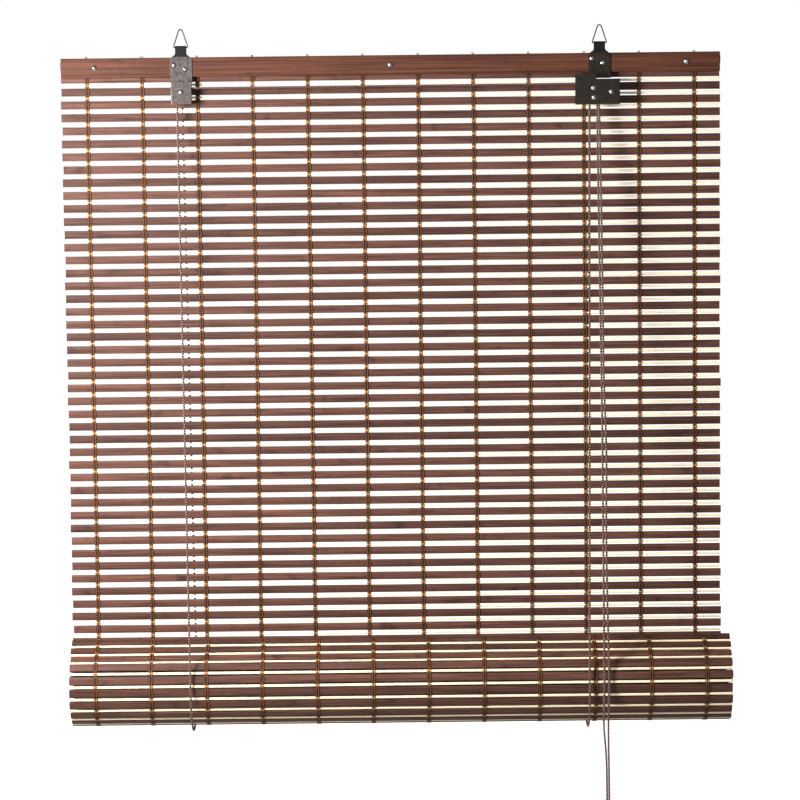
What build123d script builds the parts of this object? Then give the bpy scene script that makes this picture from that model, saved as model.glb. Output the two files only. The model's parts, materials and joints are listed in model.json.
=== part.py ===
from build123d import *
import math
import os

# A hand-rolled bamboo blind, hung from two wire rings and half raised.
# All sizes in mm.  X runs along the slats, -Y is the front, +Z is up.
# The origin lies midway between the two rings, on the inner top of their wire,
# which is where the hooks bear.

# ---------------------------------------------------------------- the woven sheet
SLAT_LEN = 800.0          # length of every slat and stick
FULL_DROP = 1600.0        # head rail top to bottom rail edge, fully lowered
SLAT_H = 9.5              # dark bamboo slat, height
SLAT_T = 1.8              # and thickness
STICK_H = 3.0             # pale stick between two slats, height
STICK_T = 1.8             # and thickness
WEAVE_GAP = 1.6           # open gap on each side of a stick
FIRST_SLAT = 9.3          # rail top to the middle of the first slat
WARP_COUNT = 12           # thread columns
WARP_SPACING = 66.9       # distance between two columns
WARP_W = 4.6              # width of one column
WARP_T = 0.7              # thickness of the thread on each face
WARP_CLEAR = 0.05         # thread face to slat face
WARP_NIP = 0.3            # thread end to the edge of a rail
WARP_LAP = 4.0            # threads run on past the last slat before the roll

# ---------------------------------------------------------------- the two rails
RAIL_LEN = 796.0          # battens, a little shorter than the slats
RAIL_H = 23.5             # batten height
RAIL_FRONT_T = 7.0        # head rail, front batten
RAIL_BACK_T = 5.0         # every other batten
RAIL_NIP = 0.1            # batten to slat
SCREW_SPAN = 358.0        # outer screws from the middle
SCREW_HEAD_R = 3.6
SCREW_HEAD_H = 2.3
SCREW_R = 1.6
HOLE_CLEAR = 0.05         # radial clearance of a screw or rivet in its hole

# ---------------------------------------------------------------- the roll
HANG_LEN = 755.0          # rail top to the level of the roll's axis
ROLL_R = 53.0             # middle of the outermost rolled slat
ROLL_STEP = 6.5           # radius lost in each turn of the loose roll
ROLL_SHIFT = 5.0          # the roll has crept this far to the right
TURN_ANGLE = 75.0         # the sheet stays at the outer radius this far round
ROLL_CLEAR = 0.45         # turning roll to the sheet that hangs behind it
FLAT_MID = 240.0          # middle of the flattened top front
FLAT_HALF = 28.0          # half of the angle that it covers
DIVE = 16.0               # the last slats fall inwards by this much
DIVE_LEN = 110.0          # over this length of sheet
LIFT = 640.0              # travel of the roll up to the rail

# ---------------------------------------------------------------- the hangers
HANGER_X = 253.0          # the two hangers lie this far from the middle
SHEET_T = 1.0             # folded steel sheet
HANGER_W = 26.4
HANGER_DROP = 30.5        # plate below the rail top
NECK_W = 13.6
BAR_RISE = 12.0           # ring bar above the rail top
NECK_BACK = 8.0           # return leg of the fold
RING_WIRE = 1.5           # wire diameter
RING_HALF = 8.95          # half of the ring's bar, wire middle
RING_APEX = 27.0          # bar to the corner in which the two sides meet
RING_APEX_R = 2.5         # bend at the top, wire middle
RING_CORNER_R = 1.2       # bends beside the bar
BAR_CLEAR = 0.08          # ring bar in its fold
RIVET_HEAD_R = 3.2
RIVET_HEAD_H = 1.7
RIVET_R = 1.25

# ---------------------------------------------------------------- pulleys and lock
CORD_D = 2.3              # cord diameter
PITCH_R = 5.0             # cord middle on a pulley
AXLE_R = 1.5
AXLE_CLEAR = 0.05         # pulley or cam bore round its pin
AXLE_DROP = 42.0          # pulley axles below the rail top
GROOVE_GAP = 0.3          # cord to groove wall
FLANGE_T = 0.6            # pulley flange
FLANGE_R = 6.4
GUIDE_Y = -6.4            # plane of the cross cord
GUIDE_STEP = 3.4          # next groove of the lock pulley
POCKET_W = 24.8           # left pulley housing
POCKET_TOP = 29.7         # its top and bottom below the rail top
POCKET_BOTTOM = 56.2
POCKET_FRONT = -10.4      # its front face
LOCK_LEFT = 223.4         # cord lock housing, left side
LOCK_RIGHT = 276.9        # right side
LOCK_STEP_X = 248.3       # the top edge steps down here
LOCK_TOP = 25.2           # below the rail top
LOCK_STEP_TOP = 31.4
LOCK_BOTTOM = 62.0
LOCK_FRONT = -13.6        # its front face
LOCK_AXLE_X = 245.2
PIN_X, PIN_DROP = 245.6, 53.6       # counter pin that the cords are pressed to
CAM_X, CAM_DROP = 266.5, 46.8       # cam pivot
CAM_HUB_R = 4.6
CAM_REACH = 12.4          # pivot to the tip of the cam

# ---------------------------------------------------------------- lift cords
SLING_CLEAR = 0.25        # sling to what it carries
SLING_X = (-248.0, 231.5)           # where each lift cord passes under the roll
BACK_TOP_X = (-253.0, 242.0)        # where its rear end is tied
EYE_R = 2.6               # screw eyes in the rear batten
EYE_WIRE = 1.2
KNOT_R = 2.1
JOIN_GAP = 0.1            # cord ends that belong to different bodies

# ---------------------------------------------------------------- pull cords
# X and drop below the rail top, from the lock down to the roll.
PULL_LEFT = [(249.4, 66.0), (250.1, 270.0), (250.7, 470.0), (249.9, 580.0)]
PULL_RIGHT = [(252.4, 66.0), (253.2, 300.0), (252.9, 395.0), (255.7, 480.0), (252.7, 590.0)]
PULL_ROLL_X = (249.3, 254.9)        # where each comes over the roll's front
PULL_OVER = 14.0          # straight length above that bend
# X and drop of the two free tails below the roll, down to the coil.
TAIL_LEFT = [(247.4, 803.0), (250.8, 838.0), (251.5, 872.0)]
TAIL_RIGHT = [(253.4, 800.0), (253.6, 836.0), (254.0, 870.0)]
COIL_DROP = 929.0         # coil axis below the rail top
COIL_X = 251.6            # first turn
COIL_R = (12.0, 14.5)     # radius of each cord's turns
COIL_TURNS = (15, 12)     # whole turns of each cord
COIL_PITCH = 2.4          # turn to turn of the inner cord
TIE_W = 3.0
TIE_T = 0.9
END_KNOT_R = 3.4
END_TAIL = 34.0           # coil axis to the end knot

# ---------------------------------------------------------------- worked out
PITCH = SLAT_H + STICK_H + 2 * WEAVE_GAP
CORD_R = CORD_D / 2
APEX_HALF_ANGLE = math.atan2(RING_HALF, RING_APEX)
RING_TOP = RING_APEX - RING_APEX_R * (1 / math.sin(APEX_HALF_ANGLE) - 1)
RAIL_TOP = -(BAR_RISE + RING_TOP - RING_WIRE / 2)
BAR_Z = RAIL_TOP + BAR_RISE
FOLD_R = RING_WIRE / 2 + BAR_CLEAR
SHEET_FRONT = -(FOLD_R + SHEET_T)   # front face of both hanger plates
SHEET_BACK = -FOLD_R                # also the front face of the head rail
RAIL_BACK = SHEET_BACK + RAIL_FRONT_T
PANEL_Y = RAIL_BACK + RAIL_NIP + SLAT_T / 2
WARP_OUT = SLAT_T / 2 + WARP_CLEAR + WARP_T         # panel middle to thread face
AXIS_GAP = ROLL_R + 2 * WARP_OUT + ROLL_CLEAR + 0.25
AXIS_Y = PANEL_Y - AXIS_GAP
AXIS_Z = RAIL_TOP - HANG_LEN
AXLE_Z = RAIL_TOP - AXLE_DROP
TURN_LEN = AXIS_GAP * math.radians(TURN_ANGLE)
RAIL_START = FULL_DROP - RAIL_H     # the bottom rail, measured along the sheet
SLAT_COUNT = int((FULL_DROP - 2 * FIRST_SLAT) / PITCH) + 1
FIXED_END = HANG_LEN - LIFT         # sheet that the raised roll never reaches
SLING_BACK_R = AXIS_GAP + WARP_OUT + SLING_CLEAR + CORD_R
SLING_FRONT_R = math.hypot(ROLL_R + WARP_OUT, SLAT_H / 2) + 2 * SLING_CLEAR + CORD_R
SLING_FRONT_Z = AXIS_Z - (SLING_BACK_R - SLING_FRONT_R)


def column_x(index):
    """Middle of one thread column."""
    return (index - (WARP_COUNT - 1) / 2) * WARP_SPACING


def roll_radius(psi, along):
    """Distance of the rolled sheet from the axis.

    psi turns from the back (0) by the bottom (90) and the front (180) to the top (270).
    """
    radius = ROLL_R - ROLL_STEP * (psi - TURN_ANGLE) / 360
    off = (psi - FLAT_MID + 180) % 360 - 180
    if abs(off) < FLAT_HALF:
        radius *= math.cos(math.radians(FLAT_HALF)) / math.cos(math.radians(off))
    falling = max(0.0, along - (RAIL_START - DIVE_LEN)) / DIVE_LEN
    return radius - DIVE * falling**2


def roll_point(psi, radius):
    """Point at that angle and distance from the roll's axis."""
    angle = math.radians(psi)
    return AXIS_Y + radius * math.cos(angle), AXIS_Z - radius * math.sin(angle)


def spiral():
    """The rolled sheet as (length along the sheet, y, z), from the turn to the bottom rail."""
    along, psi, points = HANG_LEN + TURN_LEN, TURN_ANGLE, []
    last = roll_point(psi, roll_radius(psi, along))
    while along < RAIL_START + 1:
        points.append((along, *last))
        psi += 0.25
        here = roll_point(psi, roll_radius(psi, along))
        along += math.dist(last, here)
        last = here
    return points


SPIRAL = spiral()


def station(along):
    """Place on the sheet: y, z and its lean, 0 where it hangs and -90 where it runs forwards."""
    if along <= HANG_LEN:
        return PANEL_Y, RAIL_TOP - along, 0.0
    if along <= HANG_LEN + TURN_LEN:
        psi = math.degrees((along - HANG_LEN) / AXIS_GAP)
        return *roll_point(psi, AXIS_GAP), -psi
    inside = min(along, RAIL_START)
    at = next((i for i, p in enumerate(SPIRAL) if p[0] >= inside), len(SPIRAL) - 1)
    at = min(max(at, 4), len(SPIRAL) - 5)
    before, here, after = SPIRAL[at - 4], SPIRAL[at], SPIRAL[at + 4]
    dy, dz = after[1] - before[1], after[2] - before[2]
    size = math.hypot(dy, dz)
    over = along - here[0]
    return (
        here[1] + over * dy / size,
        here[2] + over * dz / size,
        math.degrees(math.atan2(dy, -dz)),
    )


def zone(along):
    """Which part of the sheet a slat or stick belongs to."""
    if along <= FIXED_END:
        return "fixed"
    if along <= HANG_LEN:
        return "hanging"
    return "turn" if along <= HANG_LEN + TURN_LEN else "rolled"


def shift(name):
    """How far that part has crept sideways."""
    return {"turn": ROLL_SHIFT / 2, "rolled": ROLL_SHIFT}.get(name, 0.0)


def bar_at(along, length, thick, height, x=0.0, out=0.0):
    """A straight bar across the sheet, out from its middle towards the back face."""
    y, z, lean = station(along)
    return Pos(x, y, z) * Rot(lean, 0, 0) * Pos(0, out, 0) * Box(length, thick, height)


def slat_places():
    """Length along the sheet of each slat's middle."""
    return [FIRST_SLAT + k * PITCH for k in range(SLAT_COUNT)]


def stick_places():
    """Length along the sheet of each stick's middle."""
    return [along + PITCH / 2 for along in slat_places()[:-1] if along > RAIL_H / 2]


def weave_places(name):
    """Every slat and stick of one zone between the rails, as (middle, height)."""
    slats = [(along, SLAT_H) for along in slat_places()]
    sticks = [(along, STICK_H) for along in stick_places()]
    return [
        (along, height)
        for along, height in sorted(slats + sticks)
        if zone(along) == name and along > RAIL_H and along < RAIL_START - height
    ]


def thread(name, x, side):
    """One column's thread on one face of a zone: a strip that bends from slat to slat."""
    near = side * (SLAT_T / 2 + WARP_CLEAR)
    far = side * WARP_OUT
    inner, outer = [], []
    places = weave_places(name)
    for along, height in places:
        y, z, lean = station(along)
        turn = math.radians(lean)
        ends = [max(-height / 2, RAIL_H + WARP_NIP - along), height / 2]
        if along == places[-1][0]:
            ends[1] += {"turn": WARP_LAP, "rolled": RAIL_START - WARP_NIP - along - ends[1]}.get(name, 0)
        for end in ends:
            for line, out in ((inner, near), (outer, far)):
                line.append(
                    (
                        y + out * math.cos(turn) + end * math.sin(turn),
                        z + out * math.sin(turn) - end * math.cos(turn),
                    )
                )
    outline = Polygon(*inner, *reversed(outer), align=None)
    return Pos(x, 0, 0) * extrude(Plane.YZ * outline, WARP_W / 2, both=True)


def threads(name, side):
    """Every column's thread on the front (-1) or back (1) face of the sheet in one zone."""
    return [thread(name, column_x(index) + shift(name), side) for index in range(WARP_COUNT)]


def sheet_y(points, front, back):
    """A flat piece of that XZ outline, from the front to the back plane."""
    shape = Plane.XZ * Polygon(*points, align=None)
    return Pos(0, (front + back) / 2, 0) * extrude(shape, (back - front) / 2, both=True)


def along_y(radius, y0, y1, x, z):
    """A round bar along Y from y0 to y1."""
    return Pos(x, (y0 + y1) / 2, z) * Rot(90, 0, 0) * Cylinder(radius, abs(y1 - y0))


def dome(radius, height, x, y, z, way=-1):
    """A round head that stands out of the plane y, to the front when way is -1."""
    ball = (radius**2 + height**2) / (2 * height)
    middle = y - way * (ball - height)
    keep = Pos(x, y + way * height, z) * Box(4 * ball, 2 * height, 4 * ball)
    return (Pos(x, middle, z) * Sphere(ball)) & keep


def rivet(x, z, face, end, radius=RIVET_R, tail=0.0):
    """A domed rivet from its front face back to end, with a flat tail if one shows."""
    made = dome(RIVET_HEAD_R, RIVET_HEAD_H, x, face, z) + along_y(radius, face, end, x, z)
    if tail:
        made += along_y(radius + 0.9, end, end + tail, x, z)
    return made


def screw(x, z, face, end):
    """A pan head screw with a cross recess."""
    body = dome(SCREW_HEAD_R, SCREW_HEAD_H, x, face, z) + along_y(SCREW_R, face, end, x, z)
    for turn in (45, 135):
        slot = Rot(0, turn, 0) * Box(3.6, 1.6, 0.7)
        body -= Pos(x, face - SCREW_HEAD_H, z) * slot
    return body


def rail_screws():
    """Where the head rail's screws go."""
    return [(x, RAIL_TOP - RAIL_H / 2) for x in (-SCREW_SPAN, 0, SCREW_SPAN)]


def hanger_rivets(side):
    """Where one hanger plate is riveted to the rail."""
    x = side * HANGER_X
    if side < 0:
        return [(x - 8.6, RAIL_TOP - 9.5), (x + 5.2, RAIL_TOP - 14.5)]
    return [(x - 9.0, RAIL_TOP - 7.0), (x + 4.2, RAIL_TOP - 12.3)]


def head_rail():
    """Front and rear battens with the screw and rivet holes."""
    z = RAIL_TOP - RAIL_H / 2
    front_y = SHEET_BACK + RAIL_FRONT_T / 2
    back_y = PANEL_Y + SLAT_T / 2 + RAIL_NIP + RAIL_BACK_T / 2
    front = Pos(0, front_y, z) * Box(RAIL_LEN, RAIL_FRONT_T, RAIL_H)
    back = Pos(0, back_y, z) * Box(RAIL_LEN + 3, RAIL_BACK_T, RAIL_H)
    front = fillet(front.edges().filter_by(Axis.X).group_by(Axis.Y)[0], 0.8)
    for x, hole_z in rail_screws():
        hole = along_y(SCREW_R + HOLE_CLEAR, -20, 40, x, hole_z)
        front -= hole
        back -= hole
    for side in (-1, 1):
        for x, hole_z in hanger_rivets(side):
            front -= along_y(RIVET_R + HOLE_CLEAR, -20, SHEET_BACK + 5, x, hole_z)
    return front, back


def head_screws():
    """The three screws that clamp the battens on the first slat."""
    end = PANEL_Y + SLAT_T / 2 + RAIL_NIP + RAIL_BACK_T - 0.8
    return [screw(x, z, SHEET_BACK, end) for x, z in rail_screws()]


def slats(name):
    """The dark slats of one zone."""
    made = []
    for along in slat_places():
        if zone(along) != name or along > RAIL_START:
            continue
        slat = bar_at(along, SLAT_LEN, SLAT_T, SLAT_H, shift(name))
        if along < RAIL_H:
            for x, z in rail_screws():
                slat -= along_y(SCREW_R + HOLE_CLEAR, -20, 40, x, z)
        made.append(slat)
    return made


def sticks(name):
    """The pale sticks of one zone."""
    return [
        bar_at(along, SLAT_LEN, STICK_T, STICK_H, shift(name))
        for along in stick_places()
        if zone(along) == name and along < RAIL_START - STICK_H
    ]


def bottom_rail():
    """The two battens and the slat between them, wound into the middle of the roll."""
    middle = RAIL_START + RAIL_H / 2
    out = SLAT_T / 2 + RAIL_NIP + RAIL_BACK_T / 2
    y, z, lean = station(middle)
    place = Pos(ROLL_SHIFT, y, z) * Rot(lean, 0, 0)
    front = Pos(0, -out, 0) * Box(RAIL_LEN, RAIL_BACK_T, RAIL_H)
    back = Pos(0, out, 0) * Box(RAIL_LEN, RAIL_BACK_T, RAIL_H)
    slat = Pos(0, 0, RAIL_H / 2 - FIRST_SLAT) * Box(SLAT_LEN, SLAT_T, SLAT_H)
    screws = []
    for x in (-SCREW_SPAN, 0, SCREW_SPAN):
        hole = along_y(SCREW_R + HOLE_CLEAR, -20, 20, x, 0)
        front -= hole
        back -= hole
        slat -= hole
        screws.append(place * screw(x, 0, -out - RAIL_BACK_T / 2, out + RAIL_BACK_T / 2 - 0.8))
    return place * front, place * back, place * slat, screws


def hanger_plate(side):
    """Folded sheet: a plate on the rail and a neck that closes over the ring's bar."""
    x = side * HANGER_X
    half, neck = HANGER_W / 2, NECK_W / 2
    low = [(half, -HANGER_DROP), (-half, -HANGER_DROP)]
    if side < 0:
        foot = POCKET_W / 2
        low[1:1] = [
            (foot, -HANGER_DROP),
            (foot, -POCKET_BOTTOM),
            (-foot, -POCKET_BOTTOM),
            (-foot, -HANGER_DROP),
        ]
    top = [
        (-half, -1.5),
        (-half + 2.2, 0.6),
        (-neck - 0.9, 3.0),
        (-neck, 5.0),
        (-neck, BAR_RISE),
        (neck, BAR_RISE),
        (neck, 5.0),
        (neck + 0.9, 3.0),
        (half - 2.2, 0.6),
        (half, -1.5),
    ]
    outline = [(x + px, RAIL_TOP + pz) for px, pz in low + top]
    plate = sheet_y(outline, SHEET_FRONT, SHEET_BACK)
    across = Pos(x, 0, BAR_Z) * Rot(0, 90, 0)
    fold = across * Cylinder(FOLD_R + SHEET_T, NECK_W) - across * Cylinder(FOLD_R, NECK_W + 1)
    fold &= Pos(x, 0, BAR_Z + 5) * Box(NECK_W, 10, 10)
    leg_y = FOLD_R + SHEET_T / 2
    fold += Pos(x, leg_y, BAR_Z - NECK_BACK / 2) * Box(NECK_W, SHEET_T, NECK_BACK)
    plate += fold
    for rx, rz in hanger_rivets(side):
        plate -= along_y(RIVET_R + HOLE_CLEAR, -20, 20, rx, rz)
    if side < 0:
        plate -= along_y(AXLE_R + HOLE_CLEAR, -20, 20, x, AXLE_Z)
    return plate


def ring(side):
    """The bent wire triangle that goes over a hook."""
    corners = [
        (-RING_HALF, BAR_Z),
        (0, BAR_Z + RING_APEX),
        (RING_HALF, BAR_Z),
    ]
    points = [Vector(side * HANGER_X + px, 0, pz) for px, pz in corners]
    radii = [RING_CORNER_R, RING_APEX_R, RING_CORNER_R]
    path = FilletPolyline(*points, radius=radii, close=True)
    start = path.location_at(0)
    section = Plane(start.position, z_dir=path.tangent_at(0)) * Circle(RING_WIRE / 2)
    return sweep(section, path)


def left_pocket():
    """Housing of the left pulley: a front plate with a side and a top, open right and below."""
    x = -HANGER_X
    height = POCKET_BOTTOM - POCKET_TOP
    depth = SHEET_FRONT - POCKET_FRONT
    mid_z = RAIL_TOP - (POCKET_TOP + POCKET_BOTTOM) / 2
    block = Pos(x, SHEET_FRONT - depth / 2, mid_z) * Box(POCKET_W, depth, height)
    block = fillet(block.edges().filter_by(Axis.Z).group_by(Axis.Y)[0].sort_by(Axis.X)[:1], 0.9)
    room = Pos(x + SHEET_T + 5, SHEET_FRONT - depth / 2 + SHEET_T, mid_z - SHEET_T - 5)
    block -= room * Box(POCKET_W + 10, depth, height + 10)
    return block - along_y(AXLE_R + HOLE_CLEAR, -20, 0, x, AXLE_Z)


def groove_pulley(x, planes):
    """A pulley with one groove for each cord plane, bored for its axle."""
    half = CORD_R + GROOVE_GAP
    front, back = min(planes) - half - FLANGE_T, max(planes) + half + FLANGE_T
    made = along_y(FLANGE_R, front, back, x, AXLE_Z)
    floor = PITCH_R - CORD_R - GROOVE_GAP
    for plane in planes:
        band = along_y(FLANGE_R + 1, plane - half, plane + half, x, AXLE_Z)
        made -= band - along_y(floor, plane - half, plane + half, x, AXLE_Z)
    return made - along_y(AXLE_R + AXLE_CLEAR, -20, 0, x, AXLE_Z)


def lock_pins():
    """X and Z of the lock's three pins: pulley axle, counter pin, cam pivot."""
    return [
        (LOCK_AXLE_X, AXLE_Z),
        (PIN_X, RAIL_TOP - PIN_DROP),
        (CAM_X, RAIL_TOP - CAM_DROP),
    ]


def lock_housing():
    """Cord lock case: two plates joined over the stepped top and the right side."""
    outer = [
        (LOCK_LEFT, -LOCK_TOP),
        (LOCK_STEP_X, -LOCK_TOP),
        (LOCK_STEP_X, -LOCK_STEP_TOP),
        (LOCK_RIGHT, -LOCK_STEP_TOP),
        (LOCK_RIGHT, -LOCK_BOTTOM),
        (LOCK_LEFT, -LOCK_BOTTOM),
    ]
    inner = [
        (LOCK_LEFT - 5, -LOCK_TOP - SHEET_T),
        (LOCK_STEP_X - SHEET_T, -LOCK_TOP - SHEET_T),
        (LOCK_STEP_X - SHEET_T, -LOCK_STEP_TOP - SHEET_T),
        (LOCK_RIGHT - SHEET_T, -LOCK_STEP_TOP - SHEET_T),
        (LOCK_RIGHT - SHEET_T, -LOCK_BOTTOM - 5),
        (LOCK_LEFT - 5, -LOCK_BOTTOM - 5),
    ]
    outer, inner = [[(px, RAIL_TOP + pz) for px, pz in line] for line in (outer, inner)]
    case = sheet_y(outer, LOCK_FRONT, SHEET_FRONT)
    edges = case.edges().filter_by(Axis.Z).group_by(Axis.Y)[0].sort_by(Axis.X)
    case = fillet(edges[-1:], 0.9)
    case -= sheet_y(inner, LOCK_FRONT + SHEET_T, SHEET_FRONT - SHEET_T)
    for x, z in lock_pins():
        case -= along_y(AXLE_R + HOLE_CLEAR, -30, 0, x, z)
    return case


def lock_cam():
    """Toothed cam that nips the pull cords against the counter pin."""
    z = RAIL_TOP - CAM_DROP
    tip_x, tip_z = CAM_X - CAM_REACH, z - 4.0
    nose = [
        (CAM_X - 1.0, z + CAM_HUB_R - 0.1),
        (tip_x + 1.6, tip_z + 2.6),
        (tip_x, tip_z + 1.2),
        (tip_x + 0.8, tip_z + 0.3),
        (tip_x, tip_z - 0.6),
        (tip_x + 0.8, tip_z - 1.5),
        (tip_x + 0.3, tip_z - 2.4),
        (tip_x + 2.0, tip_z - 3.2),
        (CAM_X + 0.6, z - CAM_HUB_R + 0.1),
    ]
    front, back = GUIDE_Y - GUIDE_STEP - CORD_R - 0.8, GUIDE_Y + CORD_R + 0.8
    made = sheet_y(nose, front, back)
    made += along_y(CAM_HUB_R, front, back, CAM_X, z)
    return made - along_y(AXLE_R + AXLE_CLEAR, -30, 0, CAM_X, z)


def tube(path, radius=CORD_R):
    """A cord along a path of straight runs and tangent arcs."""
    section = Plane(path.position_at(0), z_dir=path.tangent_at(0)) * Circle(radius)
    return sweep(section, path)


def bend_radii(points, largest=400.0):
    """The widest bend that fits at each inner point of a route."""
    radii = []
    for before, here, after in zip(points, points[1:], points[2:]):
        first, second = here - before, after - here
        half = math.radians(first.get_angle(second)) / 2
        short = min(first.length, second.length)
        radii.append(min(largest, 0.45 * short / math.tan(half)))
    return radii


def route(points, largest=400.0, fixed=None):
    """A route through points, with its bends; fixed gives set radii by index."""
    points = [Vector(*p) for p in points]
    radii = bend_radii(points, largest)
    for index, radius in (fixed or {}).items():
        radii[index] = radius
    return FilletPolyline(*points, radius=radii)


def front_tangent(top_y, top_z):
    """Where a cord from a point above first touches the sling's front arc, and its slope."""
    dy, dz = top_y - AXIS_Y, top_z - SLING_FRONT_Z
    away = math.hypot(dy, dz)
    angle = math.atan2(dz, dy) + math.acos(SLING_FRONT_R / away)
    y = AXIS_Y + SLING_FRONT_R * math.cos(angle)
    z = SLING_FRONT_Z + SLING_FRONT_R * math.sin(angle)
    return y, z, math.pi - angle


def groove_plane(which):
    """Plane of a lift cord's own pulley groove: 0 for the left cord, 1 for the right."""
    return GUIDE_Y - which * GUIDE_STEP


def pulley_x(which):
    """Axle of the pulley that each lift cord goes up to."""
    return (-HANGER_X, LOCK_AXLE_X)[which]


def lift_front(which):
    """Taut cord in front of the sheet, from the sling up to its pulley."""
    x, y = pulley_x(which) - PITCH_R, groove_plane(which)
    knee = AXLE_Z - 14.0
    end_y, end_z, slope = front_tangent(y, knee)
    end = (SLING_X[which], end_y + JOIN_GAP * math.sin(slope), end_z + JOIN_GAP)
    return tube(route([(x, y, AXLE_Z), (x, y, knee), end], 60.0))


def lift_back(which):
    """Taut cord behind the sheet, from the knot at the rail down to the sling."""
    top = RAIL_TOP - RAIL_H - 2 * EYE_R - EYE_WIRE - JOIN_GAP / 2 - 2 * KNOT_R
    y = AXIS_Y + SLING_BACK_R
    start = Vector(BACK_TOP_X[which], y, top)
    end = Vector(SLING_X[which], y, AXIS_Z + JOIN_GAP)
    return tube(Line(start, end))


def sling(which):
    """The cord's arc under the roll, between its rear and its front stretch."""
    x = SLING_X[which]
    _, _, slope = front_tangent(groove_plane(which), AXLE_Z - 14.0)

    def at(radius, mid_z, psi):
        angle = math.radians(psi)
        return Vector(x, AXIS_Y + radius * math.cos(angle), mid_z - radius * math.sin(angle))

    end = 180 + math.degrees(slope)
    back = ThreePointArc(*[at(SLING_BACK_R, AXIS_Z, psi) for psi in (0, 45, 90)])
    front_psis = (90, (90 + end) / 2, end)
    front = ThreePointArc(*[at(SLING_FRONT_R, SLING_FRONT_Z, psi) for psi in front_psis])
    return tube(Wire([back, front]))


def over_pulley(x, y, from_angle, to_angle):
    """Arc of a cord on a pulley, angles from +X towards +Z."""
    spots = []
    for angle in (from_angle, (from_angle + to_angle) / 2, to_angle):
        turn = math.radians(angle)
        spots.append(Vector(x + PITCH_R * math.cos(turn), y, AXLE_Z + PITCH_R * math.sin(turn)))
    return ThreePointArc(*spots)


def cross_cord():
    """The left cord over its pulley, along the rail and over the lock's pulley."""
    left, right = -HANGER_X, LOCK_AXLE_X
    up = over_pulley(left, GUIDE_Y, 180, 90)
    down = over_pulley(right, GUIDE_Y, 90, 0)
    run = Line(Vector(left, GUIDE_Y, AXLE_Z + PITCH_R), Vector(right, GUIDE_Y, AXLE_Z + PITCH_R))
    return tube(Wire([up, run, down]))


def lock_turn():
    """The right cord over the lock's pulley."""
    return tube(Wire([over_pulley(LOCK_AXLE_X, groove_plane(1), 180, 0)]))


def pull_tangent(which):
    """Where a pull cord comes on to the front of the roll."""
    first = (PULL_LEFT, PULL_RIGHT)[which][0]
    return front_tangent(groove_plane(which), RAIL_TOP - first[1])


def pull_join(which):
    """The place above the roll's front where a pull cord starts to lie over it."""
    y, z, slope = pull_tangent(which)
    back_off = PULL_OVER
    return (
        PULL_ROLL_X[which],
        y + back_off * math.sin(slope),
        z + back_off * math.cos(slope),
    )


def pull_run(which):
    """A pull cord from the lock's pulley down to the roll."""
    plane = groove_plane(which)
    first = (PULL_LEFT, PULL_RIGHT)[which]
    end = pull_join(which)
    top_z = RAIL_TOP - first[0][1]
    side = LOCK_AXLE_X + PITCH_R
    points = [(side, plane, AXLE_Z), (side, plane, AXLE_Z - 6.0)]
    for x, drop in first:
        share = (top_z - (RAIL_TOP - drop)) / (top_z - end[2])
        points.append((x, plane + share * (end[1] - plane), RAIL_TOP - drop))
    _, _, slope = pull_tangent(which)
    short = JOIN_GAP
    points.append((end[0], end[1] + short * math.sin(slope), end[2] + short * math.cos(slope)))
    return tube(route(points, 900.0))


def coil_axis():
    """Y and Z of the put-away coil's axis: the inner cord runs straight down on to it."""
    return AXIS_Y - SLING_FRONT_R + COIL_R[0], RAIL_TOP - COIL_DROP


def coil_starts():
    """X of each cord's first turn and of its last."""
    inner = (COIL_X, COIL_X + COIL_TURNS[0] * COIL_PITCH)
    outer = (COIL_X + CORD_D + 0.2, COIL_X + COIL_TURNS[0] * COIL_PITCH - CORD_D - 0.2)
    return inner, outer


def coil_block():
    """The closed outer shape of the coil's turns."""
    y, z = coil_axis()
    inner, _ = coil_starts()
    low, high = inner[0] - CORD_R, inner[1] + CORD_R
    place = Pos((low + high) / 2, y, z) * Rot(0, 90, 0)
    wall = place * Cylinder(COIL_R[1] + CORD_R, high - low)
    return wall - place * Cylinder(COIL_R[0] - CORD_R, high - low + 2)


def pull_tail(which):
    """A pull cord's free stretch, over the roll's front and down to the coil."""
    join = pull_join(which)
    _, tangent_z, slope = pull_tangent(which)
    front = AXIS_Y - SLING_FRONT_R
    corner_z = SLING_FRONT_Z + SLING_FRONT_R * math.tan(slope / 2)
    axis_y, axis_z = coil_axis()
    entry_y = axis_y - COIL_R[which]
    start = coil_starts()[which][0]
    tail = (TAIL_LEFT, TAIL_RIGHT)[which]
    last = tail[-1][1]
    points = [join, (join[0], front, corner_z)]
    for x, drop in tail:
        share = max(0.0, (drop - tail[0][1]) / (last - tail[0][1]))
        points.append((x, front + share * (entry_y - front), RAIL_TOP - drop))
    points.append((start, entry_y, axis_z + 4.0))
    path = route(points, 120.0, {0: SLING_FRONT_R})
    return path, tube(path) - coil_block()


def end_knot_place():
    """Middle of the knot that ties the two ends together."""
    y, z = coil_axis()
    inner, outer = coil_starts()
    return (inner[1] + outer[1]) / 2, y - sum(COIL_R) / 2, z - END_TAIL


def end_knot():
    """An overhand knot, as the rounded block that it fills."""
    x, y, z = end_knot_place()
    ball = Pos(x, y, z) * Sphere(END_KNOT_R)
    return ball + Pos(x, y, z - 2.2) * Sphere(END_KNOT_R - 0.7)


def end_tail(which):
    """A cord's last stretch, from the coil down into the end knot."""
    y, z = coil_axis()
    x, knot_y, knot_z = end_knot_place()
    last = coil_starts()[which][1]
    side = (-1, 1)[which == 0] * (CORD_R + 0.05)
    points = [
        (last, y - COIL_R[which], z - 2.0),
        (last, y - COIL_R[which], z - 14.0),
        (x + side, knot_y, knot_z + END_KNOT_R + 6.0),
        (x + side, knot_y, knot_z),
    ]
    return tube(route(points, 30.0)) - coil_block() - end_knot()


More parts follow.
